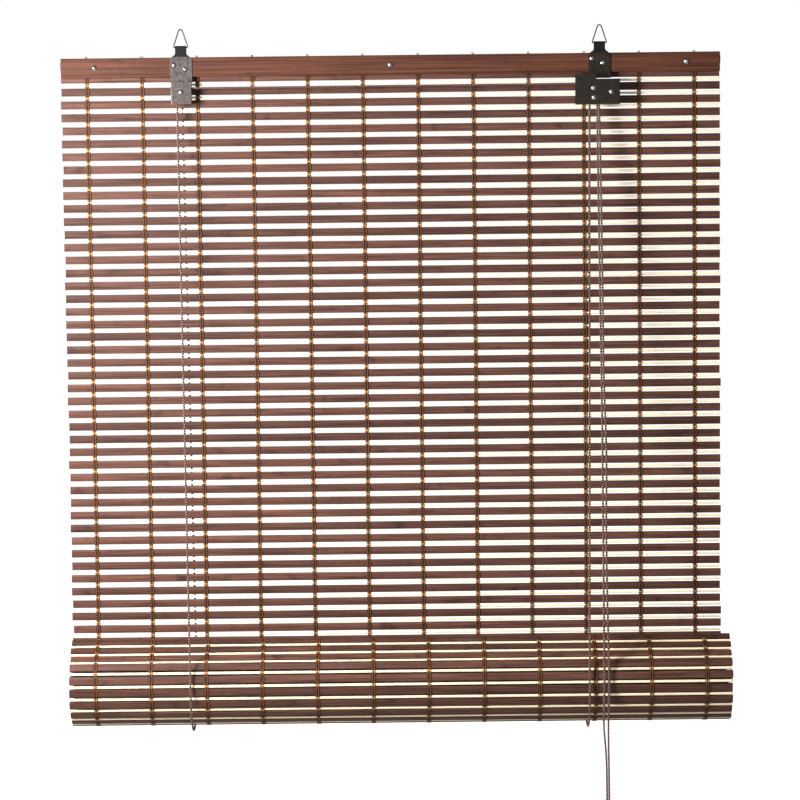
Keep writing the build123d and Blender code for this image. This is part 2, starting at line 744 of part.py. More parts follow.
def coil_tie():
    """A band through the coil and over its outside."""
    y, z = coil_axis()
    inner, _ = coil_starts()
    low, high = inner[0] - CORD_R - 0.15, inner[1] + CORD_R + 0.15
    floor, roof = COIL_R[0] - CORD_R - 0.6, COIL_R[1] + CORD_R + 0.15
    mid_x, mid_z = (low + high) / 2, z + (floor + roof) / 2
    outer = Box(high - low + 2 * TIE_T, TIE_W, roof - floor + 2 * TIE_T)
    hole = Box(high - low, TIE_W + 2, roof - floor)
    return Pos(mid_x, y, mid_z) * (outer - hole)


def rear_anchor(which):
    """Screw eye in the rear batten's lower edge, and the knot on it."""
    x, y = BACK_TOP_X[which], AXIS_Y + SLING_BACK_R
    rail_low = RAIL_TOP - RAIL_H
    eye_z = rail_low - EYE_R - EYE_WIRE / 2
    eye = Pos(x, y, eye_z) * Rot(90, 0, 0) * Torus(EYE_R, EYE_WIRE / 2)
    shank_top = rail_low + 9.0
    shank_low = eye_z + EYE_R
    mid = (shank_top + shank_low) / 2
    eye += Pos(x, y, mid) * Cylinder(EYE_WIRE / 2, shank_top - shank_low)
    knot_z = eye_z - EYE_R - EYE_WIRE / 2 - JOIN_GAP / 2 - KNOT_R
    return eye, Pos(x, y, knot_z) * Sphere(KNOT_R)


def rear_holes(batten):
    """The rear batten with the pilot holes of its screw eyes."""
    for which in (0, 1):
        x, y = BACK_TOP_X[which], AXIS_Y + SLING_BACK_R
        place = Pos(x, y, RAIL_TOP - RAIL_H + 4.0)
        batten -= place * Cylinder(EYE_WIRE / 2 + HOLE_CLEAR, 12.0)
    return batten


def save(node, *solids):
    """Write one node, as a group when it holds several equal pieces."""
    flat = [s for item in solids for s in (item if isinstance(item, list) else [item])]
    flat = [solid for item in flat for solid in item.solids()]
    shape = flat[0] if len(flat) == 1 else Compound(children=flat)
    export_step(shape, f"parts/{node}.step")
    print(f"{node:22s} {len(flat):3d} solids {sum(s.volume for s in flat):12.1f} mm3")


def main():
    os.makedirs("parts", exist_ok=True)
    front, back = head_rail()
    save("head_rail_front", front)
    save("head_rail_back", rear_holes(back))
    save("rail_screws", head_screws())
    for name in ("fixed", "hanging", "turn", "rolled"):
        save(f"{name}_slats", slats(name))
        save(f"{name}_sticks", sticks(name))
        save(f"{name}_front_threads", threads(name, -1))
        save(f"{name}_back_threads", threads(name, 1))
    low_front, low_back, low_slat, low_screws = bottom_rail()
    save("bottom_rail_front", low_front)
    save("bottom_rail_back", low_back)
    save("bottom_rail_slat", low_slat)
    save("bottom_rail_screws", low_screws)
    for side, name in ((-1, "left"), (1, "right")):
        save(f"{name}_hanger", hanger_plate(side))
        rivets = [rivet(x, z, SHEET_FRONT, SHEET_BACK + 4.5) for x, z in hanger_rivets(side)]
        save(f"{name}_hanger_rivets", rivets)
        save(f"{name}_ring", ring(side))
    save("left_pulley_housing", left_pocket())
    save("left_axle", rivet(-HANGER_X, AXLE_Z, POCKET_FRONT, SHEET_BACK, AXLE_R, 1.0))
    save("left_pulley", groove_pulley(-HANGER_X, [GUIDE_Y]))
    save("lock_housing", lock_housing())
    for (x, z), name in zip(lock_pins(), ("lock_axle", "lock_pin", "lock_cam_pivot")):
        save(name, rivet(x, z, LOCK_FRONT, SHEET_FRONT, AXLE_R))
    save("lock_pulley", groove_pulley(LOCK_AXLE_X, [GUIDE_Y, GUIDE_Y - GUIDE_STEP]))
    save("lock_cam", lock_cam())
    save("cross_cord", cross_cord())
    save("lock_turn_cord", lock_turn())
    for which, name in ((0, "left"), (1, "right")):
        save(f"{name}_lift_front", lift_front(which))
        save(f"{name}_lift_back", lift_back(which))
        save(f"{name}_sling", sling(which))
        save(f"{name}_pull_run", pull_run(which))
        path, tail = pull_tail(which)
        save(f"{name}_pull_tail", tail)
        turns = 2 * math.pi * COIL_R[which] * COIL_TURNS[which]
        print(f"  {name} tail {path.length:.1f} mm, coil {turns:.1f} mm")
    eyes, knots = zip(*[rear_anchor(which) for which in (0, 1)])
    save("rear_screw_eyes", list(eyes))
    save("rear_cord_knots", list(knots))
    save("pull_cord_coil", coil_block())
    save("pull_cord_ends", [end_tail(which) for which in (0, 1)])
    save("coil_tie", coil_tie())
    save("cord_end_knot", end_knot())


main()
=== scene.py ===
"""Looks of a woven bamboo roll up blind, dressed on its construction frame.

Lengths are in metres: a size given in millimetres is multiplied by MM.
X runs along the slats, -Y is the front and +Z is up.
"""

import json
import logging
import math
from dataclasses import dataclass, field, replace
from enum import Enum

import bpy
import numpy as np
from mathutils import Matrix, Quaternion, Vector


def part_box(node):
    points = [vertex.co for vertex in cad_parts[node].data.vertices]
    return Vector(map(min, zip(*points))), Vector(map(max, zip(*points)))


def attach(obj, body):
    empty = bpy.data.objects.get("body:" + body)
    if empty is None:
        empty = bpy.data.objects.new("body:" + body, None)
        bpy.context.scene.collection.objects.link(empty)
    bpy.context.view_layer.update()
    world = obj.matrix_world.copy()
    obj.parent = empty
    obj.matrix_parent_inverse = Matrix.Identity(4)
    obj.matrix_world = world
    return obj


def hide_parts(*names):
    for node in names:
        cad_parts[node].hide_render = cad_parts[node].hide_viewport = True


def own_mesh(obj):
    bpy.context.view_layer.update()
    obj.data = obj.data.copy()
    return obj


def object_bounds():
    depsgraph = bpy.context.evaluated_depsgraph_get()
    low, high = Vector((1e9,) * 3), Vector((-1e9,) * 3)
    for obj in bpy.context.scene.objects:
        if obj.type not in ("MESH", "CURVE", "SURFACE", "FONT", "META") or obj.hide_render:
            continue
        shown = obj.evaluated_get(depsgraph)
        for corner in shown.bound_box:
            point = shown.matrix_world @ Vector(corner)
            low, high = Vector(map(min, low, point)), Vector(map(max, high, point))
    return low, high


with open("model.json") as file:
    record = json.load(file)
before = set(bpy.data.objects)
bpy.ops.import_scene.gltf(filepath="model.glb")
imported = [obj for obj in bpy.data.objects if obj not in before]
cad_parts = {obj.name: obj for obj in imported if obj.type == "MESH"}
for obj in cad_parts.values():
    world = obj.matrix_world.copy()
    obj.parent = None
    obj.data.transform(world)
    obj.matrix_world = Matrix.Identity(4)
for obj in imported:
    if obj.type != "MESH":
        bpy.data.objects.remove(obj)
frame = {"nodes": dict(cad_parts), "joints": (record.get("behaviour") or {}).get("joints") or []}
CAD_BOX = [list(corner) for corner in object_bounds()]
LOG = logging.getLogger("blind")
MM = 0.001
TAU = 2 * math.pi
BLACK, WHITE = (0, 0, 0, 1), (1, 1, 1, 1)
NOISE_SPAN = 40.0               # each bar draws its own place in the grain from a span this wide
HARD_EDGE = math.radians(55)    # faces that meet at more than this keep a hard edge


# ---------------------------------------------------------------- small tools
def linear(colour: str) -> tuple[float, float, float, float]:
    """Turns an sRGB hex colour into linear light.

    Args:
        colour: such as "#7a4638".

    Returns:
        Red, green, blue and an alpha of one.
    """
    parts = np.array([int(colour[i : i + 2], 16) for i in (1, 3, 5)]) / 255
    light = np.where(parts <= 0.04045, parts / 12.92, ((parts + 0.055) / 1.055) ** 2.4)
    return (*light.tolist(), 1.0)


def feed(tree: bpy.types.NodeTree, node: bpy.types.Node, inputs: dict) -> None:
    """Sets or wires a node's sockets.

    Args:
        tree: the node tree that it stands in.
        node: the node.
        inputs: socket name or number to a value, or to the output that feeds it.
    """
    for name, value in inputs.items():
        socket = node.inputs[name]
        if isinstance(value, bpy.types.NodeSocket):
            tree.links.new(value, socket)
        else:
            socket.default_value = value


def add_node(tree: bpy.types.NodeTree, kind: str, inputs: dict | None = None,
             **settings: object) -> bpy.types.Node:
    """Adds one shader node, sets it up and wires it.

    Args:
        tree: the material's node tree.
        kind: the node's type name, without its ShaderNode start.
        inputs: socket name or number to a value, or to the output that feeds it.
        settings: the node's own properties; stops gives a colour ramp's (place, colour) pairs.

    Returns:
        The node.
    """
    made = tree.nodes.new("ShaderNode" + kind)
    for name, value in settings.items():
        if name == "stops":
            ramp = made.color_ramp
            for _ in value[2:]:
                ramp.elements.new(0.5)
            for element, (place, colour) in zip(ramp.elements, value):
                element.position = place
                element.color = colour
        else:
            setattr(made, name, value)
    feed(tree, made, inputs or {})
    return made


def new_material(name: str) -> tuple[bpy.types.Material, bpy.types.NodeTree, bpy.types.Node]:
    """Makes a material with nodes.

    Args:
        name: the material's name.

    Returns:
        The material, its node tree and its Principled shader.
    """
    made = bpy.data.materials.new(name)
    made.use_nodes = True
    return made, made.node_tree, made.node_tree.nodes["Principled BSDF"]


def put(name: str, data: bpy.types.ID) -> bpy.types.Object:
    """Puts new data into the scene.

    Args:
        name: the object's name.
        data: its mesh, light or camera.

    Returns:
        The object, at the origin.
    """
    made = bpy.data.objects.new(name, data)
    bpy.context.scene.collection.objects.link(made)
    return made


def finished(piece: bpy.types.Object, finish: bpy.types.Material, body: str, slot: str,
             *nodes: str) -> bpy.types.Object:
    """Gives a new piece its finish and its body, and hides the nodes that it stands for.

    Args:
        piece: the new piece.
        finish: its material.
        body: the body that it moves with.
        slot: the slot that its colour belongs to; not used.
        nodes: the construction pieces that it replaces, if any.

    Returns:
        The same piece.
    """
    piece.data.materials.append(finish)
    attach(piece, body)
    if nodes:
        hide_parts(*nodes)
    return piece


def loft(name: str, points: np.ndarray,
         marks: dict[str, np.ndarray] | None = None) -> bpy.types.Object:
    """Makes one mesh of many closed tubes from their rings of points.

    Quads join ring s to ring s + 1 and point k to point k + 1, and the two ends get one face each.
    A ring runs the way a right hand turns round the tube's forward direction, so that the
    faces look outward.

    Args:
        name: the object's name.
        points: tube, ring, point in the ring, and x y z.
        marks: attribute name to its values, one number or one vector for each point.

    Returns:
        The new object, at the origin.
    """
    tubes, rings, around = points.shape[:3]
    index = np.arange(tubes * rings * around).reshape(tubes, rings, around)
    turned = np.roll(index, -1, axis=2)
    quads = np.stack([index[:, :-1], turned[:, :-1], turned[:, 1:], index[:, 1:]], axis=-1)
    caps = np.concatenate([index[:, 0, ::-1], index[:, -1]])
    mesh = bpy.data.meshes.new(name)
    faces = [*quads.reshape(-1, 4).tolist(), *caps.tolist()]
    mesh.from_pydata(points.reshape(-1, 3), [], faces)
    for key, values in (marks or {}).items():
        vector = values.ndim == 4
        layer = mesh.attributes.new(key, "FLOAT_VECTOR" if vector else "FLOAT", "POINT")
        layer.data.foreach_set("vector" if vector else "value", values.astype(np.float32).ravel())
    mesh.shade_smooth()
    mesh.set_sharp_from_angle(angle=HARD_EDGE)
    return put(name, mesh)


def smooth_line(points: list[tuple[float, float, float]], fineness: int = 10) -> np.ndarray:
    """Reads points along the smooth line that a cord's chosen points control.

    Args:
        points: the control points of one open NURBS spline of order three.
        fineness: points read for each control point.

    Returns:
        The line's points, one row each.
    """
    curve = bpy.data.curves.new("line", "CURVE")
    curve.dimensions = "3D"
    spline = curve.splines.new("NURBS")
    spline.points.add(len(points) - 1)
    spline.points.foreach_set("co", [c for point in points for c in (*point, 1.0)])
    spline.order_u = 3
    spline.use_endpoint_u = True
    spline.resolution_u = fineness
    holder = bpy.data.objects.new("line", curve)
    mesh = bpy.data.meshes.new_from_object(holder)
    line = np.empty(len(mesh.vertices) * 3)
    mesh.vertices.foreach_get("co", line)
    bpy.data.objects.remove(holder)
    bpy.data.meshes.remove(mesh)
    return line.reshape(-1, 3)


def respaced(line: np.ndarray, step: float) -> np.ndarray:
    """Gives a line evenly spaced points, by its length from the start.

    Args:
        line: points along it.
        step: about how far apart the new points lie.

    Returns:
        The new points, the two ends among them.
    """
    far = np.concatenate([[0], np.cumsum(np.linalg.norm(np.diff(line, axis=0), axis=1))])
    apart = np.r_[True, np.diff(far) > 1e-9]
    line, far = line[apart], far[apart]
    places = np.linspace(0, far[-1], max(3, int(far[-1] / step) + 1))
    return np.stack([np.interp(places, far, line[:, i]) for i in range(3)], axis=1)


def span(node: str) -> tuple[np.ndarray, np.ndarray]:
    """Gives a construction piece's lowest and highest corners."""
    low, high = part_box(node)
    return np.array(low), np.array(high)


# ---------------------------------------------------------------- finishes
class Grain(Enum):
    """Where a wood's pattern takes its place from."""

    SLAT = "each slat's own attribute, so that no two are alike"
    BOARD = "the piece's own place in space"


@dataclass(frozen=True)
class StainedBamboo:
    """Split bamboo, planed flat, stained red brown and wiped.

    The eye gets long fine fibres, slow clouds of stain and darker node scars.
    """

    name: str = "stained_bamboo_slats"
    grain: Grain = Grain.SLAT
    dark: str = "#29160f"
    body: str = "#57362c"
    light: str = "#754f41"
    fibre: float = 1.0 * MM         # width of a fibre streak: twice the real one, so that it shows
    fibre_run: float = 70 * MM      # and its length
    scar_run: float = 38 * MM       # length of slat between likely node scars
    scar: str = "#241411"
    # Noise waves in a metre across a slat, and a number that only parts one slat from another.
    scar_rows: tuple[float, float] = (30, 31)
    cloud_rows: tuple[float, float] = (120, 9)
    scar_at: tuple[float, float] = (0.57, 0.70)     # noise at which a scar starts and is full
    scar_cover: float = 0.62        # how much a full scar hides
    streak_at: tuple[float, float, float] = (0.28, 0.52, 0.78)  # noise that is dark, body, light
    by_tone: float = 0.55           # share of the shade from the slat's own tone,
    by_cloud: float = 0.55          # from the clouds,
    by_all: float = 0.42            # and the same for all
    board_tone: float = 0.5         # tone of a board, which has none of its own
    relief: float = 0.12 * MM       # depth of the fibres
    roughness: float = 0.56
    specular: float = 0.25

    def material(self) -> bpy.types.Material:
        """Builds it: streaks, clouds and scars in the colour, and streaks in the bump.

        Returns:
            The material.
        """
        made, tree, shader = new_material(self.name)
        if self.grain is Grain.SLAT:
            place = add_node(tree, "Attribute", attribute_name="grain").outputs["Vector"]
            tone = add_node(tree, "Attribute", attribute_name="tone").outputs["Fac"]
        else:
            place = add_node(tree, "TexCoord").outputs["Object"]
            tone = self.board_tone
        noises = []
        for scale, detail, rough in (
            ((1 / self.fibre_run, 1 / self.fibre, 1 / self.fibre), 4.0, 0.6),
            ((1 / (2 * self.scar_run), *self.cloud_rows), 2.0, 0.5),
            ((1 / self.scar_run, *self.scar_rows), 3.5, 0.7),
        ):
            where = add_node(tree, "Mapping", {"Vector": place, "Scale": scale})
            noise = add_node(tree, "TexNoise", {"Vector": where.outputs[0], "Scale": 1.0,
                                                "Detail": detail, "Roughness": rough})
            noises.append(noise.outputs["Fac"])
        streak, cloud, scar = noises
        marks = add_node(tree, "ValToRGB", {"Fac": scar},
                         stops=list(zip(self.scar_at, (BLACK, WHITE))))
        colours = [linear(colour) for colour in (self.dark, self.body, self.light)]
        wood = add_node(tree, "ValToRGB", {"Fac": streak}, stops=list(zip(self.streak_at, colours)))
        level = add_node(tree, "Math", {0: cloud, 1: self.by_cloud}, operation="MULTIPLY")
        lift = add_node(tree, "Math", {0: tone, 1: self.by_tone, 2: level.outputs[0]},
                        operation="MULTIPLY_ADD")
        shade = add_node(tree, "Math", {0: lift.outputs[0], 1: self.by_all}, operation="ADD")
        toned = add_node(tree, "Mix", {0: 1.0, 6: wood.outputs["Color"], 7: shade.outputs[0]},
                         data_type="RGBA", blend_type="MULTIPLY")
        amount = add_node(tree, "Math", {0: marks.outputs["Color"], 1: self.scar_cover},
                          operation="MULTIPLY")
        scarred = add_node(tree, "Mix", {0: amount.outputs[0], 6: toned.outputs[2],
                                         7: linear(self.scar)}, data_type="RGBA")
        bump = add_node(tree, "Bump", {"Height": streak, "Strength": 0.35, "Distance": self.relief})
        feed(tree, shader, {"Base Color": scarred.outputs[2], "Normal": bump.outputs[0],
                            "Roughness": self.roughness, "Specular IOR Level": self.specular})
        return made


@dataclass(frozen=True)
class BareStick:
    """Unstained bamboo splint, rounded and bare: cream with faint honey fibres, and matt."""

    name: str = "bare_bamboo_splints"
    pale: str = "#fff0cd"
    honey: str = "#ecc993"
    fibre: float = 0.4 * MM         # width of a fibre streak: coarser than real, so that it shows
    fibre_run: float = 90 * MM      # and its length
    parting: float = 17             # only parts one splint's noise from another's
    streak_at: tuple[float, float] = (0.26, 0.44)   # noise that is honey and that is pale
    relief: float = 0.08 * MM       # depth of the fibres
    roughness: float = 0.6

    def material(self) -> bpy.types.Material:
        """Builds it: thin honey streaks on cream, in the colour and in the bump.

        Returns:
            The material.
        """
        made, tree, shader = new_material(self.name)
        place = add_node(tree, "Attribute", attribute_name="grain").outputs["Vector"]
        scale = (1 / self.fibre_run, 1 / self.fibre, self.parting)
        fine = add_node(tree, "Mapping", {"Vector": place, "Scale": scale})
        streak = add_node(tree, "TexNoise", {"Vector": fine.outputs[0], "Scale": 1.0,
                                             "Detail": 3.0}).outputs["Fac"]
        colours = (linear(self.honey), linear(self.pale))
        wood = add_node(tree, "ValToRGB", {"Fac": streak}, stops=list(zip(self.streak_at, colours)))
        bump = add_node(tree, "Bump", {"Height": streak, "Strength": 0.2, "Distance": self.relief})
        feed(tree, shader, {"Base Color": wood.outputs["Color"], "Normal": bump.outputs[0],
                            "Roughness": self.roughness})
        return made


@dataclass(frozen=True)
class Yarn:
    """Dyed and twisted yarn, matt.

    The eye gets a lay of fibres across the plies and a pale crown on each ply. Down each
    ply's sides the colour darkens to a near black groove colour, which is painted shade.
    A yarn may add a painted glow: light painted where it would shine through.
    """

    name: str
    crown: str
    groove: str
    lay: float                      # length of one turn of the fibres: coarse, so that it shows
    dark_to: float = 0.4            # painted shade is full this far up from the grooves, and the pale crown colour starts here
    pale_from: float = 1.0          # and the pale starts here
    twist: float = 0.16             # how strongly the fibres' lay shows
    painted_glow: str | None = None         # colour of the painted glow of light through the yarn, if it has one of its own
    slant: float = 0.9              # phase that the fibres gain from a groove to a crown
    relief: float = 0.1 * MM        # depth of the fibres
    roughness: float = 0.72
    specular: float = 0.2

    def material(self) -> bpy.types.Material:
        """Builds it from two attributes: crown, one on top of a ply, and run, its length in metres.

        Returns:
            The material.
        """
        made, tree, shader = new_material(self.name)
        crown = add_node(tree, "Attribute", attribute_name="crown").outputs["Fac"]
        run = add_node(tree, "Attribute", attribute_name="run").outputs["Fac"]
        across = add_node(tree, "Math", {0: crown, 1: self.slant}, operation="MULTIPLY")
        phase = add_node(tree, "Math", {0: run, 1: TAU / self.lay, 2: across.outputs[0]},
                         operation="MULTIPLY_ADD")
        fibres = add_node(tree, "Math", {0: phase.outputs[0]}, operation="SINE")
        lit = add_node(tree, "Math", {0: fibres.outputs[0], 1: self.twist, 2: crown},
                       operation="MULTIPLY_ADD")
        # Painted shade below dark_to, in the groove colour; the last stop is the painted glow.
        stops = [(self.dark_to, linear(self.groove)), (self.pale_from, linear(self.crown)),
                 (1.0, linear(self.painted_glow or self.crown))]
        tint = add_node(tree, "ValToRGB", {"Fac": lit.outputs[0]}, stops=stops)
        bump = add_node(tree, "Bump", {"Height": fibres.outputs[0], "Strength": 0.4,
                                       "Distance": self.relief})
        feed(tree, shader, {"Base Color": tint.outputs["Color"], "Normal": bump.outputs[0],
                            "Roughness": self.roughness, "Specular IOR Level": self.specular})
        return made


@dataclass(frozen=True)
class Metal:
    """Sheet, wire or turned metal, or a smooth moulding: fine grit and brighter rubbed spots."""

    name: str
    body: str
    worn: str
    metallic: float
    roughness: float
    grit: float = 0.9 * MM          # size of the surface's orange peel
    neck: str | None = None         # colour above the rail, darker and without worn specks
    neck_from: float = 0.0          # height at which it starts,
    neck_fade: float = 2 * MM       # over this length
    patch_share: float = 0.16       # the grit's size over that of a rubbed patch
    worn_at: tuple[float, float] = (0.16, 0.36)     # noise at which wear starts and is full
    gloss: tuple[float, float] = (-0.08, 0.12)      # least and most that grit adds to roughness
    relief: float = 0.05 * MM       # depth of the grit

    def material(self) -> bpy.types.Material:
        """Builds it: worn specks in the colour and in the gloss, and grit in the bump.

        Returns:
            The material.
        """
        made, tree, shader = new_material(self.name)
        place = add_node(tree, "TexCoord").outputs["Object"]
        grit = add_node(tree, "TexNoise", {"Vector": place, "Scale": 1 / self.grit, "Detail": 3.0,
                                           "Roughness": 0.65}).outputs["Fac"]
        patch = add_node(tree, "TexNoise", {"Vector": place, "Scale": self.patch_share / self.grit,
                                            "Detail": 4.0})
        both = add_node(tree, "Math", {0: grit, 1: patch.outputs["Fac"]}, operation="MULTIPLY")
        colours = (linear(self.body), linear(self.worn))
        tint = add_node(tree, "ValToRGB", {"Fac": both.outputs[0]},
                        stops=list(zip(self.worn_at, colours)))
        colour = tint.outputs["Color"]
        if self.neck:
            height = add_node(tree, "SeparateXYZ", {0: place}).outputs["Z"]
            above = add_node(tree, "MapRange", {"Value": height, "From Min": self.neck_from,
                                                "From Max": self.neck_from + self.neck_fade})
            colour = add_node(tree, "Mix", {0: above.outputs[0], 6: colour, 7: linear(self.neck)},
                              data_type="RGBA").outputs[2]
        low, high = self.gloss
        gloss = add_node(tree, "MapRange", {"Value": grit, "To Min": self.roughness + low,
                                            "To Max": self.roughness + high})
        bump = add_node(tree, "Bump", {"Height": grit, "Strength": 0.25, "Distance": self.relief})
        feed(tree, shader, {"Base Color": colour, "Roughness": gloss.outputs[0],
                            "Normal": bump.outputs[0], "Metallic": self.metallic})
        return made


# ---------------------------------------------------------------- the woven sheet
@dataclass
class SheetPath:
    """The way that the woven sheet takes, from the head rail down, round and into the roll."""

    slat_high: float = 9.5 * MM
    slat_thick: float = 1.8 * MM    # sticks are as thick
    stick_high: float = 3.0 * MM
    gap: float = 1.6 * MM           # open gap on each side of a stick
    first: float = 9.3 * MM         # top of the rail to the middle of the first slat
    full_drop: float = 1600 * MM    # length of the whole sheet
    rail_high: float = 23.5 * MM
    hang: float = 755 * MM          # top of the rail to the level of the roll's axis
    fixed: float = 115 * MM         # this much of the sheet stays when the roll is at the top
    roll_r: float = 53 * MM         # middle of the outermost rolled slat
    roll_step: float = 6.5 * MM     # radius lost in each turn
    turn_deg: float = 75.0          # the sheet keeps its outer radius this far round
    flat_mid: float = 240.0         # middle of the flattened top front, in degrees
    flat_half: float = 28.0         # half of the angle that it covers
    dive: float = 16 * MM           # the last slats fall inwards by this much,
    dive_len: float = 110 * MM      # over this length of sheet
    spiral_step: float = 0.25       # degrees between two points of the spiral
    # How far the turn and the roll have crept to the right.
    creep: dict[str, float] = field(default_factory=lambda: {"turn": 2.5 * MM, "rolled": 5 * MM})

    def __post_init__(self) -> None:
        """Works out the pitch, the axis of the roll and the spiral."""
        self.pitch = self.slat_high + self.stick_high + 2 * self.gap
        low, high = span("hanging_slats")
        self.panel_y = (low[1] + high[1]) / 2
        self.rail_top = span("head_rail_front")[1][2]
        spin = next(j for j in frame["joints"] if j["name"] == "roll_spin")
        self.axis_y, self.axis_z = spin["pos_m"][1:]
        self.axis_gap = self.panel_y - self.axis_y
        self.turn_len = self.axis_gap * math.radians(self.turn_deg)
        self.rail_start = self.full_drop - self.rail_high
        self._wind()

    def _wind(self) -> None:
        """Winds the spiral: a radius that shrinks by one step a turn, flatter at the top front."""
        along, psi, rows = self.hang + self.turn_len, self.turn_deg, []
        while along < self.rail_start + MM:
            radius = self.roll_r - self.roll_step * (psi - self.turn_deg) / 360
            off = (psi - self.flat_mid + 180) % 360 - 180
            if abs(off) < self.flat_half:
                radius *= math.cos(math.radians(self.flat_half)) / math.cos(math.radians(off))
            falling = max(0.0, along - (self.rail_start - self.dive_len)) / self.dive_len
            radius -= self.dive * falling**2
            angle = math.radians(psi)
            here = (self.axis_y + radius * math.cos(angle), self.axis_z - radius * math.sin(angle))
            if rows:
                along += math.dist(rows[-1][1:], here)
            rows.append((along, *here))
            psi += self.spiral_step
        self.spiral = np.array(rows).T

    def station(self, along: np.ndarray) -> tuple[np.ndarray, np.ndarray, np.ndarray]:
        """Gives the sheet's place and forward direction at lengths along it.

        Args:
            along: lengths from the top of the head rail.

        Returns:
            Points and unit directions, each as x y z rows with x at zero, and the front normals.
        """
        zero = np.zeros_like(along)
        hanging = along <= self.hang
        psi = np.clip((along - self.hang) / self.axis_gap, 0, None)
        y = np.where(hanging, self.panel_y, self.axis_y + self.axis_gap * np.cos(psi))
        z = np.where(hanging, self.rail_top - along, self.axis_z - self.axis_gap * np.sin(psi))
        ahead_y = np.where(hanging, 0.0, -np.sin(psi))
        ahead_z = np.where(hanging, -1.0, -np.cos(psi))
        wound = along > self.hang + self.turn_len
        length, spiral_y, spiral_z = self.spiral
        y = np.where(wound, np.interp(along, length, spiral_y), y)
        z = np.where(wound, np.interp(along, length, spiral_z), z)
        slope_y = np.interp(along, length, np.gradient(spiral_y, length))
        slope_z = np.interp(along, length, np.gradient(spiral_z, length))
        ahead_y, ahead_z = np.where(wound, slope_y, ahead_y), np.where(wound, slope_z, ahead_z)
        size = np.hypot(ahead_y, ahead_z)
        ahead = np.stack([zero, ahead_y / size, ahead_z / size], axis=-1)
        front = np.stack([zero, ahead[..., 2], -ahead[..., 1]], axis=-1)
        return np.stack([zero, y, z], axis=-1), ahead, front

    def zone(self, along: float) -> str:
        """Names the stretch of sheet that a slat or stick belongs to.

        Args:
            along: the length from the top of the head rail to its middle.

        Returns:
            The stretch's name.
        """
        if along <= self.fixed:
            return "fixed"
        if along <= self.hang:
            return "hanging"
        return "turn" if along <= self.hang + self.turn_len else "rolled"

    def slats(self) -> np.ndarray:
        """Gives every slat's middle, but not the one that the bottom rail clamps."""
        count = int((self.full_drop - 2 * self.first) / self.pitch)
        return self.first + np.arange(count) * self.pitch

    def sticks(self) -> np.ndarray:
        """Gives every stick's middle: there is none inside the head rail."""
        return self.slats()[1:] + self.pitch / 2


@dataclass
class Bars:
    """A stretch of parallel bars across the sheet, each with its own small faults."""

    path: SheetPath
    high: float
    thick: float
    edge: float                     # radius of the long edges
    stations: int
    seed: int
    bow: float = 0.22 * MM          # how far a bar bends in the sheet's plane
    ragged: float = 1.6 * MM        # how much shorter one may be at an end
    swell: float = 0.012            # how unevenly high it is
    arc_at: tuple[float, ...] = (10, 45, 80)    # points of a rounded edge, in degrees

    def ring(self) -> np.ndarray:
        """Gives the section: a rectangle of thickness by height with four arcs of three points.

        Returns:
            Points, each as thickness and height.
        """
        turns = np.radians(self.arc_at)
        flat_thick, flat_high = self.thick / 2 - self.edge, self.high / 2 - self.edge
        corners = []
        for quarter, (side, up) in enumerate(((1, 1), (-1, 1), (-1, -1), (1, -1))):
            angle = turns + quarter * math.pi / 2
            corners.append(np.stack([side * flat_thick + self.edge * np.cos(angle),
                                     up * flat_high + self.edge * np.sin(angle)], axis=1))
        return np.concatenate(corners)

    def build(self, name: str, places: np.ndarray, ends: tuple[float, float],
              draw: int) -> bpy.types.Object:
        """Sweeps the section along X at each place.

        A bar's middle line is straight but for a bow of one half wave and one full wave.

        Args:
            name: the new piece.
            places: lengths along the sheet.
            ends: x of the bars' two ends.
            draw: number of this stretch's random draw, added to the seed.

        Returns:
            The piece.
        """
        chance = np.random.default_rng(self.seed + draw)
        count = len(places)
        centre, ahead, front = self.path.station(places)
        trim = chance.uniform(0, self.ragged, (2, count))
        low, high = ends[0] + trim[0], ends[1] - trim[1]
        share = np.linspace(0, 1, self.stations)
        x = low[:, None] + (high - low)[:, None] * share
        phase = chance.uniform(0, TAU, (2, count, 1))
        size = chance.normal(0, self.bow, (2, count, 1))
        bend = (size[0] * np.sin(math.pi * share + phase[0])
                + 0.5 * size[1] * np.sin(TAU * share + phase[1]))
        swell = 1 + chance.normal(0, self.swell, (count, self.stations))
        ring = self.ring()
        tall = ring[:, 1] * swell[..., None] + bend[..., None]
        thick = ring[:, 0] * np.ones_like(tall)
        points = (centre[:, None, None] - thick[..., None] * front[:, None, None]
                  - tall[..., None] * ahead[:, None, None])
        points[..., 0] += x[..., None]
        from_x = chance.uniform(0, NOISE_SPAN, (count, 1, 1))
        from_z = chance.uniform(0, NOISE_SPAN, (count, 1, 1))
        grain = np.stack([points[..., 0] + from_x,
                          np.broadcast_to(ring[:, 1] + ring[:, 0], tall.shape),
                          np.broadcast_to(from_z, tall.shape)], axis=-1)
        tone = np.broadcast_to(chance.uniform(0, 1, (count, 1, 1)), tall.shape)
        return loft(name, points, {"grain": grain, "tone": tone})


